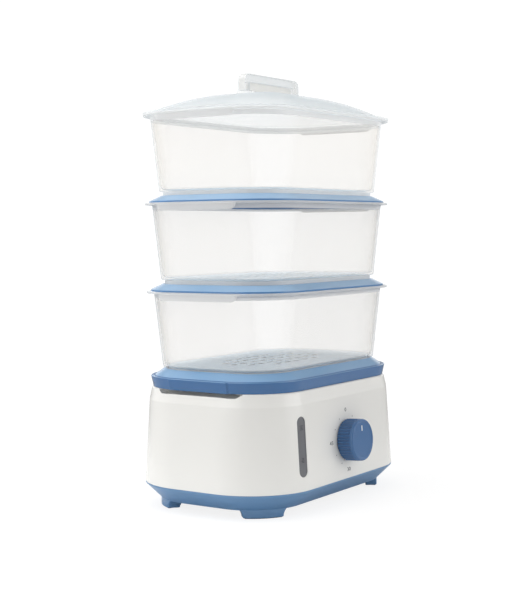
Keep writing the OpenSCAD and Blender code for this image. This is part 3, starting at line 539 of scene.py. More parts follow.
# Painted highlight: the slots' walls are white and dense, for their edges catching the light
SLOT_HIGHLIGHT_PP = translucent("slot_wall_painted_highlight", "#ffffff", "#ffffff", 0.6, 0.9, 0.2)
LID_PP = translucent("lid_polypropylene", "#f8fafa", "#d8e0e4", 0.2, 0.55, 0.4)
HANDLE_PP = translucent("handle_polypropylene", "#dde3e6", "#bcc8d1", 0.25, 0.7, 0.2,
                        roughness=0.12)
PANEL_PP = translucent("panel_polypropylene", "#efeeea", "#d4d9da", 0.45, 0.7, 0.2)

# %% Finishes of the inner pieces, which keep their CAD meshes
SCREW_STEEL = metal("screw_zinc_steel", "#b4b6b8", 0.3, 1.0, stretch=(1.0, 1.0, 0.05))
STEEL_PIECES = ("case_screws", "heater_clamp", "heater_screws", "timer_bell", "timer_shaft")
FINISH = dict.fromkeys(STEEL_PIECES, SCREW_STEEL)
FINISH["heater_plate"] = metal("heater_cast_aluminium", "#c9cacb", 0.42, 6.0)
for name, finish, colour, roughness, relief in (
        ("foot_pads", "pad_rubber", "#1d1d1e", 0.8, RUBBERY),
        ("water_tank", "tank_polypropylene", "#e6e8e9", 0.4, WAVY),
        ("heater_seal", "seal_silicone", "#c1512f", 0.55, WAVY),
        ("thermal_cutoff", "cutoff_phenolic", "#231d1a", 0.55, WAVY),
        ("turbo_ring", "turbo_polypropylene", "#eceeee", 0.4, WAVY),
        ("timer_case", "timer_nylon", "#d9d4c6", 0.5, GRAINY),
        ("cord_gland", "gland_nylon", "#2a2c2e", 0.5, GRAINY),
        ("terminal_block", "block_nylon", "#ece6d6", 0.5, WAVY),
        ("lead_wires", "wire_pvc", "#7a4c2a", 0.45, WAVY)):
    FINISH[name] = moulded(finish, colour, roughness, relief=relief)
for name, material in FINISH.items():
    NODES[name].data.materials.clear()
    NODES[name].data.materials.append(material)
print("finishes on CAD nodes:", len(FINISH))

# %% [markdown]
# ## Base
# The housing and the pan share one outline. Its corner centres lie 80 mm and 28.5 mm from the
# middle. The housing's wall leans in to a soft crease, then a short shoulder leads up to the
# seat. A finger scoop runs along each short end, under the tray's grip.

# %% Housing
HOUSE = (80.0, 28.5)
SEAM_Z, CREASE_Z, SEAT_Z = 28.0, 120.0, 134.0
SEAM_R, CREASE_R, SHOULDER_R = 75.0, 69.2, 66.0
LEAN = math.atan((SEAM_R - CREASE_R) / (CREASE_Z - SEAM_Z))
SCOOP_X, SCOOP_Z, SCOOP_R, SCOOP_HALF = 141.5, 139.5, 11.0, 45.0
WINDOW_HALF, WINDOW_R = 26.0, 6.4
BUSH_HOLE_R, GLAND_HOLE_R = 6.3, 8.0
# Places on the front, and the gland's on the back
WINDOW_AT, KNOB_AT, GLAND_AT = (-92, 75.5), (0, 71), (68, 46)


def scoop_distance(points):
    """Distance of points (..., 3) from the middle line of the nearer finger scoop."""
    x = np.abs(points[..., 0]) - SCOOP_X
    y = points[..., 1] - np.clip(points[..., 1], -SCOOP_HALF, SCOOP_HALF)
    return np.sqrt(x ** 2 + y ** 2 + (points[..., 2] - SCOOP_Z) ** 2)


def shoulder_sections(where):
    """The housing's upper edge at every station, from the seat to the wall: a rounded edge, but
    in a scoop the seat ends at A and the wall at B, where each meets the scoop's round bar, and
    the points between go from the chord A-B out to the bar's surface."""
    samples, fall, edge, steps = 240, 12.0, 2.0, 14
    seat = np.stack([np.linspace(50.5, SHOULDER_R, samples), np.full(samples, SEAT_Z)], 1)
    drop = np.linspace(0, fall, samples)
    slope = (CREASE_R - SHOULDER_R) / (SEAT_Z - CREASE_Z)
    wall = np.stack([SHOULDER_R + drop * slope, SEAT_Z - drop], 1)
    on_seat = scoop_distance(swept(seat, where)) < SCOOP_R
    on_wall = scoop_distance(swept(wall, where)) < SCOOP_R
    first = np.where(on_seat.any(1), on_seat.argmax(1), samples - 1)
    last = np.where(on_wall.any(1), samples - 1 - on_wall[:, ::-1].argmax(1), 0)
    a = np.stack([np.minimum(seat[first, 0], SHOULDER_R - edge), np.full(len(first), SEAT_Z)], 1)
    b = wall[np.maximum(last, int(edge / fall * samples))]
    t = np.linspace(0, 1, steps)[None, :, None]
    corner = np.array([SHOULDER_R, SEAT_Z])
    rounded = (1 - t) ** 2 * a[:, None] + 2 * t * (1 - t) * corner + t ** 2 * b[:, None]
    chord = (1 - t) * a[:, None] + t * b[:, None]
    axis = np.array([SCOOP_X - HOUSE[0], SCOOP_Z])
    away = chord - axis
    scooped = axis + away * SCOOP_R / np.linalg.norm(away, axis=-1, keepdims=True)
    inside = scoop_distance(swept(rounded, where)) < SCOOP_R - 0.05
    return np.where(inside[..., None], scooped, rounded)


def on_front(x, z, back=False):
    """Matrix of a place on the front, or mirrored on the back: x along the wall, y up it, z out of
    it. Beyond the corner centre the wall turns by asin((|x| - 80) / radius)."""
    radius = SEAM_R - (SEAM_R - CREASE_R) * (z - SEAM_Z) / (CREASE_Z - SEAM_Z)
    turn = math.copysign(math.asin(max(abs(x) - HOUSE[0], 0) / radius), x)
    lean = Matrix.Rotation(math.pi / 2 - LEAN, 4, "X")
    matrix = np.array(Matrix.Rotation(turn, 4, "Z") @ lean)
    matrix[:3, 3] = x, -HOUSE[1] - radius * math.cos(turn), z
    if back:
        matrix = np.diag([1.0, -1.0, 1.0, 1.0]) @ matrix
    return matrix


def wall_hole(name, where, radius, place):
    """Plug that reaches from 8 mm inside the wall to 4 mm outside it."""
    return "DIFFERENCE", moved(surface(name, [plug(where, radius, -8, 4)]), place)


def make_housing():
    """Shoulder, outer wall, inner wall and the seat with its step for the tank, closed."""
    corner = np.concatenate([np.linspace(0, 30, 21), np.linspace(33, 90, 20)])
    where = stations(HOUSE, corner, y_side=np.linspace(-28.5, 28.5, 13)[1:-1])
    lower = fillet([(SEAM_R, SEAM_Z + 20), (SEAM_R - 0.03, SEAM_Z), (SEAM_R - 3, SEAM_Z),
                    (72.0, SEAM_Z + 3)], [0, 0.5, 0.5, 0])[1:-1]
    crease = fillet([(SEAM_R, SEAM_Z), (CREASE_R, CREASE_Z), (SHOULDER_R, SEAT_Z)],
                    [0, 5.0, 0], 8)[1:-1]
    inner = fillet([(56, SEAT_Z), (49, SEAT_Z), (49, 131.5), (41, 131.5), (41, 129), (55, 129),
                    (59, 126.5), (64.8, 124), (66.4, 117), (72, SEAM_Z + 6)],
                   [0, 0.7, 0.4, 0.7, 0.5, 2, 2, 2, 2, 0])
    spread = [np.broadcast_to(part, (len(where[0]),) + part.shape)
              for part in (crease[::-1], lower, inner[1:][::-1])]
    section = np.concatenate([shoulder_sections(where), *spread], axis=1)
    return cut(surface("housing_shell", [skin(swept(section, where), round_columns=True)]),
               wall_hole("window_cut", upright(stadium(WINDOW_HALF)), WINDOW_R + 0.1,
                         on_front(*WINDOW_AT)),
               wall_hole("bush_cut", circle(48), BUSH_HOLE_R, on_front(*KNOB_AT)),
               wall_hole("gland_cut", circle(48), GLAND_HOLE_R, on_front(*GLAND_AT, back=True)))


housing = shade(make_housing(), bevel=0.35)
finished(housing, HOUSING_ABS, "base", ["base_housing"])

# %% Pan and feet
FLOOR_R, FLOOR_Z, FLOOR_TOP = 57.0, 9.0, 11.5
STAND_OUT, STAND_W, STAND_L, STAND_FLARE, STAND_TOP, PAD_PROUD = 57.5, 12.5, 44.0, 11.5, 11.0, 0.6
SCREW_X, SCREW_Y, SCREW_HOLE_R = 55, 79.5, 4.1


def foot_outline(widening, outer):
    """Outline of a foot at one height: arcs at the outer and the inner radius round one centre,
    and flat ends. The inner side and the ends move out by the widening."""
    inner, half = STAND_OUT - STAND_W - widening, STAND_L / 2 + widening
    share = np.linspace(-1, 1, 13)
    arcs = [radius * unit(share * way * math.asin(half / radius))
            for radius, way in ((outer, 1), (inner, -1))]
    return closed_fillet(np.concatenate(arcs), ([2.0] + [0] * 11 + [2.0]) * 2, 4)


def make_feet():
    """Each foot widens towards the pan in a hollow: at height h by r - sqrt(r^2 - h^2)."""
    h = np.linspace(0, STAND_TOP - PAD_PROUD, 12)
    widening = STAND_FLARE - np.sqrt(STAND_FLARE ** 2 - h ** 2)
    levels = [(PAD_PROUD, -0.6), (PAD_PROUD + 0.15, -0.2), (PAD_PROUD + 0.5, 0.0)]
    levels += list(zip(PAD_PROUD + h[1:], widening[1:]))
    outline = np.stack([foot_outline(w, STAND_OUT + min(w, 0)) for _, w in levels], 1)
    feet = []
    for sx, sy in ((-1, -1), (-1, 1), (1, -1), (1, 1)):
        turn = np.array([[sx, sy], [-sy, sx]]) * math.sqrt(0.5)
        grid = np.empty(outline.shape[:2] + (3,))
        grid[..., :2] = outline @ turn + np.multiply((sx, sy), HOUSE)
        grid[..., 2] = [z for z, _ in levels]
        feet.append(skin(grid, (0, -1)))
    return surface("feet", feet)


def make_pan():
    """Flat floor with cooling slots, sides that slope out to the seam, a lip inside the
    housing's wall, and a foot at each corner."""
    where = stations(HOUSE, 24)
    start = 24
    section = fillet([
        (start, FLOOR_TOP), (FLOOR_R - 1.2, FLOOR_TOP), (69.3, 24), (69.3, 32), (71.5, 32),
        (71.5, SEAM_Z), (SEAM_R, SEAM_Z), (SEAM_R, SEAM_Z - 1.5), (FLOOR_R + 2, FLOOR_Z + 2),
        (FLOOR_R, FLOOR_Z), (start, FLOOR_Z)],
        [0, 3, 1.5, 0.3, 0.3, 0, 0.3, 0.9, 1.2, 1.2, 0])
    slots = [(sx * 74, i * 9) for sx in (-1, 1) for i in range(-3, 4)]
    outline = where[0] + where[1] * start
    walls, plates = slotted(outline, slots, 15.5, 1.5, FLOOR_TOP, FLOOR_Z, 0.4)
    pan = surface("pan_shell", [skin(swept(section, where))] + walls + plates)
    cut(pan, ("UNION", make_feet()))
    holes = [plug(shifted(circle(32), sx * SCREW_X, sy * SCREW_Y), SCREW_HOLE_R, 5, 22)
             for sx in (-1, 1) for sy in (-1, 1)]
    return cut(pan, ("DIFFERENCE", surface("screw_holes", holes)))


finished(shade(make_pan(), bevel=0.3), PAN_ABS, "base", ["bottom_pan"])

# %% [markdown]
# ## Drip tray and rings
# The tray and the rings follow the bowls' outline, whose corner centres lie 83 mm and 32 mm from
# the middle. The tray's trough runs down to a flat floor and a round collar for the steam: the
# section's last columns leave the rounded rectangle and become circles.

# %% Drip tray
BOWL = (83.0, 32.0)
SKIRT_TOP, LEDGE_Z, LIP_Z, TROUGH_Z, TROUGH_UNDER = 146.2, 146.5, 154.0, 138.0, 136.0
LIP_R, COLLAR_R, COLLAR_TOP, SPIGOT_R, SPIGOT_Z = 45.4, 35.0, 145.0, 32.1, 129.0
GRIP_HALF, GRIP_OUT = 40.0, 2.0


def make_tray():
    """Skirt, groove, slope, lip, ledge and trough, then the steam collar and back underneath."""
    corner = np.concatenate([[0, 3], np.linspace(5.6, 9.4, 11), np.linspace(12, 90, 22)])
    where = stations(BOWL, corner)
    centres, directions = where
    outside = fillet([
        (58.6, SEAT_Z), (60.1, SEAT_Z), (62.7, 145.6), (62.5, SKIRT_TOP), (61.6, SKIRT_TOP),
        (61.0, 144.8), (58.7, 145.1), (58.1, 146.8), (LIP_R + 2.5, LIP_Z - 0.3), (LIP_R + 2, LIP_Z),
        (LIP_R, LIP_Z), (LIP_R, LEDGE_Z), (LIP_R - 6, LEDGE_Z), (37.4, TROUGH_Z), (30, TROUGH_Z)],
        [0, 0.5, 0.5, 0.3, 0.3, 0.2, 0.4, 0.4, 0.8, 0.4, 0.7, 0.6, 0.8, 1.5, 0])[1:]
    inside = fillet([
        (30, TROUGH_UNDER), (36.9, TROUGH_UNDER), (40.2, 144.5), (47.4, 144.5), (47.4, 150.6),
        (60.0, 142.0), (58.1, SEAT_Z)],
        [0, 0.8, 0.8, 0.8, 0.5, 0.8, 0])
    # Grips: the skirt's outer face, which is the section's first three corners, moves out within
    # 40 mm of the middle of the short ends
    y = np.abs(centres[:, 1] + directions[:, 1] * 61)
    out = GRIP_OUT * (1 - smooth_step(y, GRIP_HALF - 2.4, GRIP_HALF + 0.6))
    outer = np.repeat(outside[None], len(centres), 0)
    outer[:, :12, 0] += (out * (np.abs(directions[:, 0]) > 0.9))[:, None]
    left, right = swept(outer, where), swept(inside, where)
    collar = fillet([
        (44, TROUGH_Z), (COLLAR_R + 2, TROUGH_Z), (COLLAR_R + 2, COLLAR_TOP),
        (COLLAR_R, COLLAR_TOP), (COLLAR_R, TROUGH_UNDER), (44, TROUGH_UNDER)],
        [0, 0.8, 0.6, 0.6, 0.4, 0])[1:-1]
    ring = unit(np.arctan2(left[:, -1, 1], left[:, -1, 0]))
    middle = swept(collar, (np.zeros_like(ring), ring))
    spigot = closed_fillet([(SPIGOT_R, 137), (SPIGOT_R, SPIGOT_Z), (SPIGOT_R - 1.8, SPIGOT_Z),
                            (SPIGOT_R - 1.8, 137)], [0, 0.5, 0.5, 0])
    body = np.concatenate([left, middle, right], 1)
    return surface("drip_tray_moulding", [skin(body, round_columns=True),
                                          skin(swept(spigot, where), round_columns=True)])


finished(shade(make_tray()), TRAY_PP, "tray", ["drip_tray"])

# %% Rings
BODY_R, FOOT_R, MOUTH_R, RIM_R = 50.1, 45.8, 57.5, 67.0
FOOT_LINES = {1: 155.0, 2: 252.5, 3: 350.0}
RIM_LINES = {1: 240.0, 2: 337.5, 3: 435.0}


def make_ring(n):
    """Ring under bowl n: outer edge, slope and lip, ledge for the foot, and the skirt that centres
    it in the bowl below."""
    z = RIM_LINES[n - 1]
    edge, lip = RIM_R + n - 3 - 4.5, FOOT_R + n - 2 + 0.6
    skirt = MOUTH_R + n - 3 - 1.2
    section = closed_fillet([
        (edge, z), (edge, z + 2), (lip + 2.3, z + 7.8), (lip + 2, z + 8), (lip, z + 8),
        (lip, z + 4), (lip - 6, z + 4), (lip - 6, z + 2), (lip + 2.6, z + 2), (lip + 2.8, z + 3.5),
        (skirt - 1.8, z + 1.3), (skirt - 1.8, z - 5), (skirt, z - 5), (skirt, z)],
        [0.3, 0.8, 0.6, 0.3, 0.7, 0.5, 0.6, 0.6, 0.5, 0.5, 0.5, 0.5, 0.6, 0.3])
    grid = swept(section, stations(BOWL, 24))
    return surface(f"ring_{n}_moulding", [skin(grid, round_columns=True)])


for n, body in ((2, "lower_ring"), (3, "upper_ring")):
    finished(shade(make_ring(n)), RING_PP, body, [f"ring_{n}"])

# %% [markdown]
# ## Bowls, lid and handle
# All three bowls share one section and grow by 1 mm a tier, so that they nest. The floor is a
# flat sheet with 35 slots. The dome is the plan shrunk to a share k of its size, at a height
# that falls with k to the power 2.4, so that it is flat on top and steep at its edge.

# %% Bowls
WALL = 2.0
SLOT_ROWS, SLOT_STEP, ROW_STEP = (5, 8, 9, 8, 5), 19, 17
SLOT_PLACES = [((j - (count - 1) / 2) * SLOT_STEP, (i - 2) * ROW_STEP)
               for i, count in enumerate(SLOT_ROWS) for j in range(count)]
EAR_HALF, EAR_DEPTH, EAR_ROUND = 52.0, 8.0, 7.0
# The wall is denser within this distance of the rim
BAND = 7.5
FLANGE, FOOT_DROP = 2.2, 8.5


def make_ear(side, g, top):
    """Thin grip that hangs under the flange along one short end. Its depth falls off round a
    quarter circle at each end."""
    r = RIM_R + g - 2.5
    end = EAR_ROUND * (1 - np.cos(np.linspace(0, math.pi / 2, 9)))
    y = np.concatenate([end - EAR_HALF, np.linspace(-44, 44, 27), EAR_HALF - end[::-1]])
    beyond = np.maximum(np.abs(y) - BOWL[1], 0)
    angle = np.arcsin(beyond / r) * np.sign(y)
    centres = np.stack([np.full(len(y), side * BOWL[0]), np.clip(y, -BOWL[1], BOWL[1])], 1)
    in_round = np.maximum(np.abs(y) - (EAR_HALF - EAR_ROUND), 0)
    depth = EAR_DEPTH - EAR_ROUND + np.sqrt(np.maximum(EAR_ROUND ** 2 - in_round ** 2, 0))
    base = RIM_R + g
    shape = closed_fillet([(base - 1.1, 0), (base - 2.0, -1), (base - 3.5, -1), (base - 3.1, 0)],
                          [0, 0.45, 0.45, 0])
    section = np.repeat(shape[None], len(y), 0)
    section[..., 1] = top + section[..., 1] * depth[:, None]
    grid = swept(section, (centres, unit(angle) * [side, 1]))
    return skin(grid.transpose(1, 0, 2), (0, -1))


def make_bowl(n):
    """Inside of the wall up to the mouth, flange, outside of the wall down to the stepped foot."""
    g, z0, z1 = n - 2, FOOT_LINES[n], RIM_LINES[n]
    body, foot, mouth, rim = BODY_R + g, FOOT_R + g, MOUTH_R + g, RIM_R + g
    root = rim - 7.75
    inner_band = mouth - (mouth + WALL - body) * BAND / (z1 - z0 - WALL)
    outer_band = root - (root - body) * (BAND - FLANGE) / (z1 - z0 - FLANGE)
    where, start = stations(BOWL, 26), 9.0
    section = fillet([
        (start, z0 + WALL), (body - WALL, z0 + WALL), (inner_band, z1 - BAND), (mouth, z1),
        (rim, z1), (rim, z1 - FLANGE), (root, z1 - FLANGE), (outer_band, z1 - BAND), (body, z0),
        (foot, z0), (foot, z0 - FOOT_DROP), (foot - WALL, z0 - FOOT_DROP), (foot - WALL, z0),
        (start, z0)],
        [0, 4.0, 0, 0.8, 0.6, 0.6, 1.4, 0, 1.6, 0.4, 0.6, 0.6, 0.4, 0], 4)
    outline = where[0] + where[1] * start
    walls, plates = slotted(outline, SLOT_PLACES, 4.25, 2.25, z0 + WALL, z0, 0.5)
    ears = [make_ear(side, g, z1 - 1.1) for side in (-1, 1)]
    bowl = surface(f"bowl_{n}_moulding", [skin(swept(section, where))] + walls + ears + plates)
    # The flange, the grips and the foot take the denser finish; the flat floor takes the paler,
    # bluish painted light, and the slots' walls take the white painted highlight
    x, y, z = face_middles(bowl)
    off = np.hypot(np.maximum(np.abs(x) - BOWL[0], 0), np.maximum(np.abs(y) - BOWL[1], 0))
    thick = (z < z0 - 0.3) | (z > z1 - BAND) | ((z > z1 - 12) & (off > rim - 4))
    level = (z > z0 - 0.01) & (z < z0 + WALL + 0.01) & (off < body - 6)
    flat = level & (np.abs(z - z0 - WALL / 2) > 0.99)
    numbers = np.where(thick, 1, np.where(flat, 2, np.where(level, 3, 0)))
    return by_face(bowl, (BOWL_PP, EDGE_PP, FLOOR_LIGHT_PP, SLOT_HIGHLIGHT_PP), numbers)


for n in (1, 2, 3):
    finished(shade(make_bowl(n)), BOWL_PP, f"tier_{n}", [f"bowl_{n}"])

# %% Lid
LID_Z, LID_R, DOME_R, CROWN = 435.0, 68.5, 60.5, 27.0
RIB_R, RIB_DROP = 57.3, 5
POST_X, PAD_Z, GRIP_TOP = 50.5, 463.0, 481.5


def dome_z(k, bottom):
    """Height of the dome where the plan is shrunk to a share k."""
    return bottom + (CROWN - WALL) * (1 - k ** 2.4)


def make_lid():
    """Dome, flange and the rib that centres it in the mouth, pads for the handle, steam vents."""
    where = stations(BOWL, 24, x_side=np.linspace(-83, 83, 12)[1:-1],
                     y_side=np.linspace(-32, 32, 6)[1:-1])
    k = np.linspace(0, 1, 30) ** 0.85
    top = np.stack([np.full(len(k), DOME_R), dome_z(k, LID_Z + WALL)], 1)
    k_low = k[::-1][1:] * 0.96
    low = np.stack([np.full(len(k_low), DOME_R - WALL), dome_z(k_low, LID_Z)], 1)
    flange = fillet([(DOME_R, LID_Z + WALL), (LID_R, LID_Z + WALL), (LID_R, LID_Z),
                     (RIB_R, LID_Z), (RIB_R, LID_Z - RIB_DROP), (RIB_R - 1.8, LID_Z - RIB_DROP),
                     (RIB_R - 1.8, LID_Z + 1.4)], [0, 0.6, 0.6, 0.4, 0.6, 0.6, 0])[1:]
    scale = np.concatenate([k, np.ones(len(flange)), k_low])
    lid = surface("lid_moulding", [skin(swept(np.concatenate([top, flange, low]), where, scale))])
    pad = fillet([(1, PAD_Z), (3, PAD_Z), (3.2, PAD_Z - 3.6)], [0, 0.8, 0])
    pad = np.concatenate([pad, [(3.2, PAD_Z - 3.7)]])
    pads = [skin(swept(pad, shifted(stations((3.0, 4.5), 6), s * POST_X, 0)), (0, -1))
            for s in (-1, 1)]
    vents = [plug(shifted(upright(stadium(6.5)), s * (POST_X + 17), 0), 1.5, 440, 470)
             for s in (-1, 1)]
    return cut(lid, ("UNION", surface("pads", pads)), ("DIFFERENCE", surface("vents", vents)))


finished(shade(make_lid()), LID_PP, "cover", ["lid"])

# %% Handle
HANDLE_HALF, BAR = 55, 9


def make_handle():
    """Frame along a path that goes up, across and down, with a thin panel inside it. The outer
    and the inner line have their own corner radii, and the rounded section spans between them."""
    lines = [fillet([(-x, PAD_Z), (-x, z), (x, z), (x, PAD_Z)], [0, r, r, 0], 12)
             for x, z, r in ((HANDLE_HALF, GRIP_TOP, 8), (HANDLE_HALF - BAR, GRIP_TOP - BAR, 3))]
    middle, half = (lines[0] + lines[1]) / 2, (lines[0] - lines[1]) / 2
    centres, directions = stations((0.55, 4.0), 6)
    profile = centres + directions * [[0.45, 2.0]]
    grid = np.empty((len(profile), len(middle), 3))
    grid[..., 0] = middle[:, 0] + half[:, 0] * profile[:, :1]
    grid[..., 1] = profile[:, 1:]
    grid[..., 2] = middle[:, 1] + half[:, 1] * profile[:, :1]
    panel = plug(stations((47.5, 0.5), 3), 0.5, PAD_Z, GRIP_TOP - 7)
    handle = cut(surface("handle_frame", [skin(grid, (0, -1))]),
                 ("UNION", surface("handle_panel", [panel])))
    return by_face(handle, (HANDLE_PP, PANEL_PP), np.abs(face_middles(handle)[1]) < 1.2)


finished(shade(make_handle()), HANDLE_PP, "cover", ["lid_handle"])

# %% [markdown]
# ## Knob, window and print
# These sit on the leaning front. The knob is a polar surface: its radius at angle a and height h
# is R(h) minus the depth of a flute, sqrt(r^2 - u^2) - 0.3 r, where u is the distance along the
# rim from the flute's middle.

# %% Knob and pointer
KNOB_R, KNOB_FRONT, FLUTES, FLUTE_R = 23.4, 20.8, 40, 1.6
# Radius, height over the wall, and the share of a flute's depth at that height
KNOB_PROFILE = np.array([
    (3, 0.8, 0), (22.7, 0.8, 0), (23.15, 0.95, 0.6), (KNOB_R, 1.4, 1), (KNOB_R, 6, 1),
    (KNOB_R, 11, 1), (KNOB_R, 15.3, 1), (KNOB_R, 15.9, 0.85), (KNOB_R, 16.4, 0.5),
    (KNOB_R, 16.8, 0.15), (KNOB_R, 17.1, 0), (23.3, 18.6, 0), (23.1, 19.6, 0), (22.85, 20.3, 0),
    (22.5, 20.65, 0), (22.0, KNOB_FRONT, 0), (20.9, KNOB_FRONT, 0), (20.5, 20.7, 0),
    (20.2, 20.4, 0), (19.9, 20.1, 0), (19.4, 20.0, 0), (12, 19.96, 0), (0, 19.9, 0)])
POINTER_AT = 13.1


def make_knob():
    """Polar surface with flutes. The faces in the flutes take the darker colour, which is painted
    shade.
    """
    angle = np.arange(FLUTES * 12) * 2 * math.pi / (FLUTES * 12)
    pitch = 2 * math.pi / FLUTES
    u = KNOB_R * (np.mod(angle, pitch) - pitch / 2)
    depth = np.maximum(np.sqrt(np.maximum(FLUTE_R ** 2 - u ** 2, 0)) - 0.3 * FLUTE_R, 0)
    radius = KNOB_PROFILE[None, :, 0] - depth[:, None] * KNOB_PROFILE[None, :, 2]
    grid = np.empty(radius.shape + (3,))
    grid[..., :2] = radius[..., None] * unit(angle)[:, None]
    grid[..., 2] = KNOB_PROFILE[:, 1]
    knob = surface("knob_body", [skin(grid, (0,))])
    x, y, z = face_middles(knob)
    # Painted shade: faces deep in the flutes take the darker colour
    groove = (np.hypot(x, y) < KNOB_R - 0.45 * FLUTE_R) & (z > 1) & (z < 16.6)
    return by_face(knob, (KNOB_ABS, FLUTE_SHADE_ABS), groove)


def make_pointer():
    """Narrow bar in the knob's face, with its upper edge rounded."""
    section = fillet([(0.3, 20.22), (0.75, 20.22), (0.75, 19.5)], [0, 0.2, 0])
    where = shifted(stations((0.02, 2.4), 4), 0, POINTER_AT)
    return surface("knob_pointer", [skin(swept(section, where), (0, -1))])


knob = shade(moved(make_knob(), on_front(*KNOB_AT)), sharp=60)
finished(knob, KNOB_ABS, "timer_knob", ["knob"])
pointer = shade(moved(make_pointer(), on_front(*KNOB_AT)))
finished(pointer, MARKER_ABS, "timer_knob", ["knob_marker"])

# %% Level window


def make_window():
    """Round-ended lens, a little sunk in the wall, with a faint raised border."""
    section = fillet([(WINDOW_R, -6.0), (WINDOW_R, -0.5), (WINDOW_R - 0.8, -0.5),
                      (WINDOW_R - 1.1, -0.9), (2.0, -0.9)], [0, 0.3, 0.2, 0.3, 0])
    grid = swept(section, upright(stadium(WINDOW_HALF, 16)))
    return surface("window_lens", [skin(grid, (0, -1))])


window = shade(moved(make_window(), on_front(*WINDOW_AT)))
finished(window, WINDOW_TINT_AND_SHADE, "base", ["level_window"])

# %% Print
TEXT_SIZE, TEXT_WIDE, TEXT_HALF, DOT_R, DOT_AT, INK = 6.0, 1.3, 0.05, 0.6, 28.5, 0.1


def text_sheet(text, x, y):
    """Flat text turned into a thin sheet, centred on (x, y)."""
    curve = bpy.data.curves.new("print", "FONT")
    curve.body = text
    curve.size = TEXT_SIZE
    curve.align_x, curve.align_y = "CENTER", "CENTER"
    curve.extrude = TEXT_HALF
    holder = linked("print", curve)
    mesh = evaluated(holder)
    points = np.empty(len(mesh.vertices) * 3)
    mesh.vertices.foreach_get("co", points)
    blocks = [np.array([tuple(p.vertices)]) for p in mesh.polygons]
    bpy.data.objects.remove(holder)
    bpy.data.curves.remove(curve)
    bpy.data.meshes.remove(mesh)
    return points.reshape(-1, 3) * [TEXT_WIDE, 1, 1] + [x, y, TEXT_HALF], blocks


def flat_sheet(outline, z):
    """One flat face at height z."""
    return np.column_stack([outline, np.full(len(outline), z)]), [np.arange(len(outline))[None]]


box = np.array([[-1, -1], [1, -1], [1, 1], [-1, 1]])
marks = [flat_sheet(box * [1.8 + 0.8 * (i % 3 == 0), 0.3] + [0.6, y], INK - 0.85)
         for i, y in enumerate((22.4, 21.0, 19.6, 18.2, -12.4, -13.8, -15.2, -16.6))]
level = moved(mesh_object("level_marks", marks), on_front(*WINDOW_AT))
finished(level, MARK_INK, "base")

quarters = enumerate(np.radians([0, 90, 180, -90]))
minutes = [text_sheet(str(15 * i), 34 * math.sin(a), 33.5 * math.cos(a)) for i, a in quarters]
dots = [flat_sheet(circle(16)[1] * DOT_R + DOT_AT * unit(math.pi / 2 - a), INK)
        for a in np.radians(np.arange(30, 360, 30)) if abs(math.sin(2 * a)) > 0.1]
dial = moved(mesh_object("dial_print", minutes + dots), on_front(*KNOB_AT))
finished(dial, PRINT_INK, "base")

# %% [markdown]
# ## Floor, light and background
# The photograph is a studio cut-out: white all round, with soft light. A weak lamp on the left
# lights the short end, a stronger one above lights the shoulder and the slopes, and one in front
# and to the right lights the front. The world is pale, but dark where the camera stands, so that
# glossy faces turned to the camera mirror a darker tone. The floor is a large pale sheet that
# rises behind the object in one smooth curve, and lights the translucent bowls from behind.

# %% Floor and backdrop


def make_floor():
    """A sheet across the view whose section is flat, then a quarter circle, then upright."""
    size, bend, height = 6000.0, 1200.0, 5000.0
    t = np.linspace(0, math.pi / 2, 25)
    section = np.concatenate([
        [[-size, 0.0]], np.stack([size + bend * np.sin(t), bend - bend * np.cos(t)], 1),
        [[size + bend, height]]])
    across = np.array([-size, size])[:, None, None] * RIGHTWARDS
    grid = across + section[:, :1] * AWAY + section[:, 1:] * UP
    return surface("floor", [skin(grid, round_rows=False)])


def background_material():
    """Paper that the camera sees as white, with a share of real diffuse paper near the object,
    which keeps the faint shadow. To all other rays it is a table, white under the object and grey
    further out, and a lit wall behind it. So what faces the room reflects a darker tone than what
    faces the paper, and the bowls glow from behind, as in the photograph."""
    material, tree, out, place = new_material("paper_sweep")
    away = node(tree, "VectorMath", {0: place}, operation="LENGTH").outputs["Value"]
    height = node(tree, "SeparateXYZ", {"Vector": place}).outputs["Z"]
    paper = node(tree, "BsdfDiffuse", Color=linear("#f5f5f5")).outputs["BSDF"]
    white = node(tree, "Emission", Color=(1, 1, 1, 1), Strength=1.06).outputs["Emission"]
    seen = mixed_shaders(tree, ramp(tree, away, 0.5, 1.2, 0.8, 1.0), paper, white)
    grey = ramp(tree, away, 0.3, 0.8, 0.88, 0.35)
    table = node(tree, "BsdfDiffuse", {"Color": grey}).outputs["BSDF"]
    glow = ramp(tree, height, 1.5, 3.5, 1.1, 0.4)
    wall = node(tree, "Emission", {"Strength": glow}, Color=(1, 1, 1, 1)).outputs["Emission"]
    studio = mixed_shaders(tree, ramp(tree, height, 0.1, 0.4), table, wall)
    camera_ray = node(tree, "LightPath").outputs["Is Camera Ray"]
    tree.links.new(mixed_shaders(tree, camera_ray, studio, seen), out)
    return material


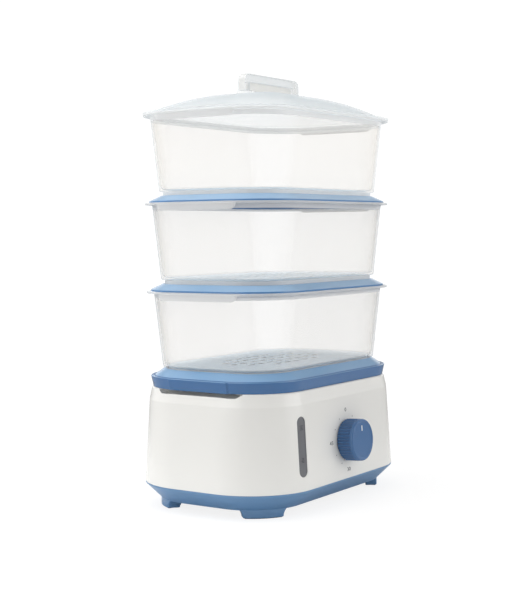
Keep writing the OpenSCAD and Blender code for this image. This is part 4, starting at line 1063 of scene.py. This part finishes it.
floor = make_floor()
floor.data.materials.append(background_material())
print("floor and backdrop")

# %% Lamps and world
# Place, target and size in mm, and power in W
LAMPS = {
    "key": ((-1850, 250, 700), (0, 0, 220), 1200, 7),
    "top": ((-500, 500, 1750), (0, 0, 250), 1500, 18),
    "fill": ((900, -2200, 500), (0, 0, 200), 1500, 13),
}
# Strength of the world's light and of its dark patch, the direction of that patch, and the
# cosines of the angles at its edge and at its core
BRIGHT, DARK, UNLIT, PATCH_EDGE, PATCH_CORE = 0.8, 0.1, (-0.85, -0.52, 0.0), 0.45, 0.9


def add_lamp(name, place, target, size, power):
    """Square area lamp, turned so that it looks at the target."""
    lamp = linked(name, bpy.data.lights.new(name, "AREA"))
    lamp.data.size = size * MM
    lamp.data.energy = power
    place, target = Vector(place) * MM, Vector(target) * MM
    lamp.location = place
    lamp.rotation_euler = (target - place).to_track_quat("-Z", "Y").to_euler()


def light_world():
    """Even light with a dark patch, for the unlit side of the studio where the camera stands.
    The cosine of the angle to the patch's direction takes the light from bright to dark. What
    the camera sees of the world itself is white."""
    world = bpy.data.worlds.new("studio")
    tree = empty_tree(world)
    direction = node(tree, "TexCoord").outputs["Generated"]
    cosine = node(tree, "VectorMath", {0: direction}, operation="DOT_PRODUCT")
    cosine.inputs[1].default_value = UNLIT
    light = ramp(tree, cosine.outputs["Value"], PATCH_EDGE, PATCH_CORE, BRIGHT, DARK,
                 interpolation_type="SMOOTHSTEP")
    path = node(tree, "LightPath").outputs
    rays = {0: path["Is Camera Ray"], 1: path["Is Transmission Ray"]}
    seen = node(tree, "Math", rays, operation="MAXIMUM").outputs[0]
    level = node(tree, "Mix", {"Factor": seen, "A": light}, data_type="FLOAT", B=1.0)
    back = node(tree, "Background", {"Strength": level.outputs["Result"]}, Color=(1, 1, 1, 1))
    node(tree, "OutputWorld", {"Surface": back.outputs["Background"]})
    bpy.context.scene.world = world


for name, lamp in LAMPS.items():
    add_lamp(name, *lamp)
light_world()
bpy.context.scene.view_settings.view_transform = "Standard"
print("lamps:", len(LAMPS))
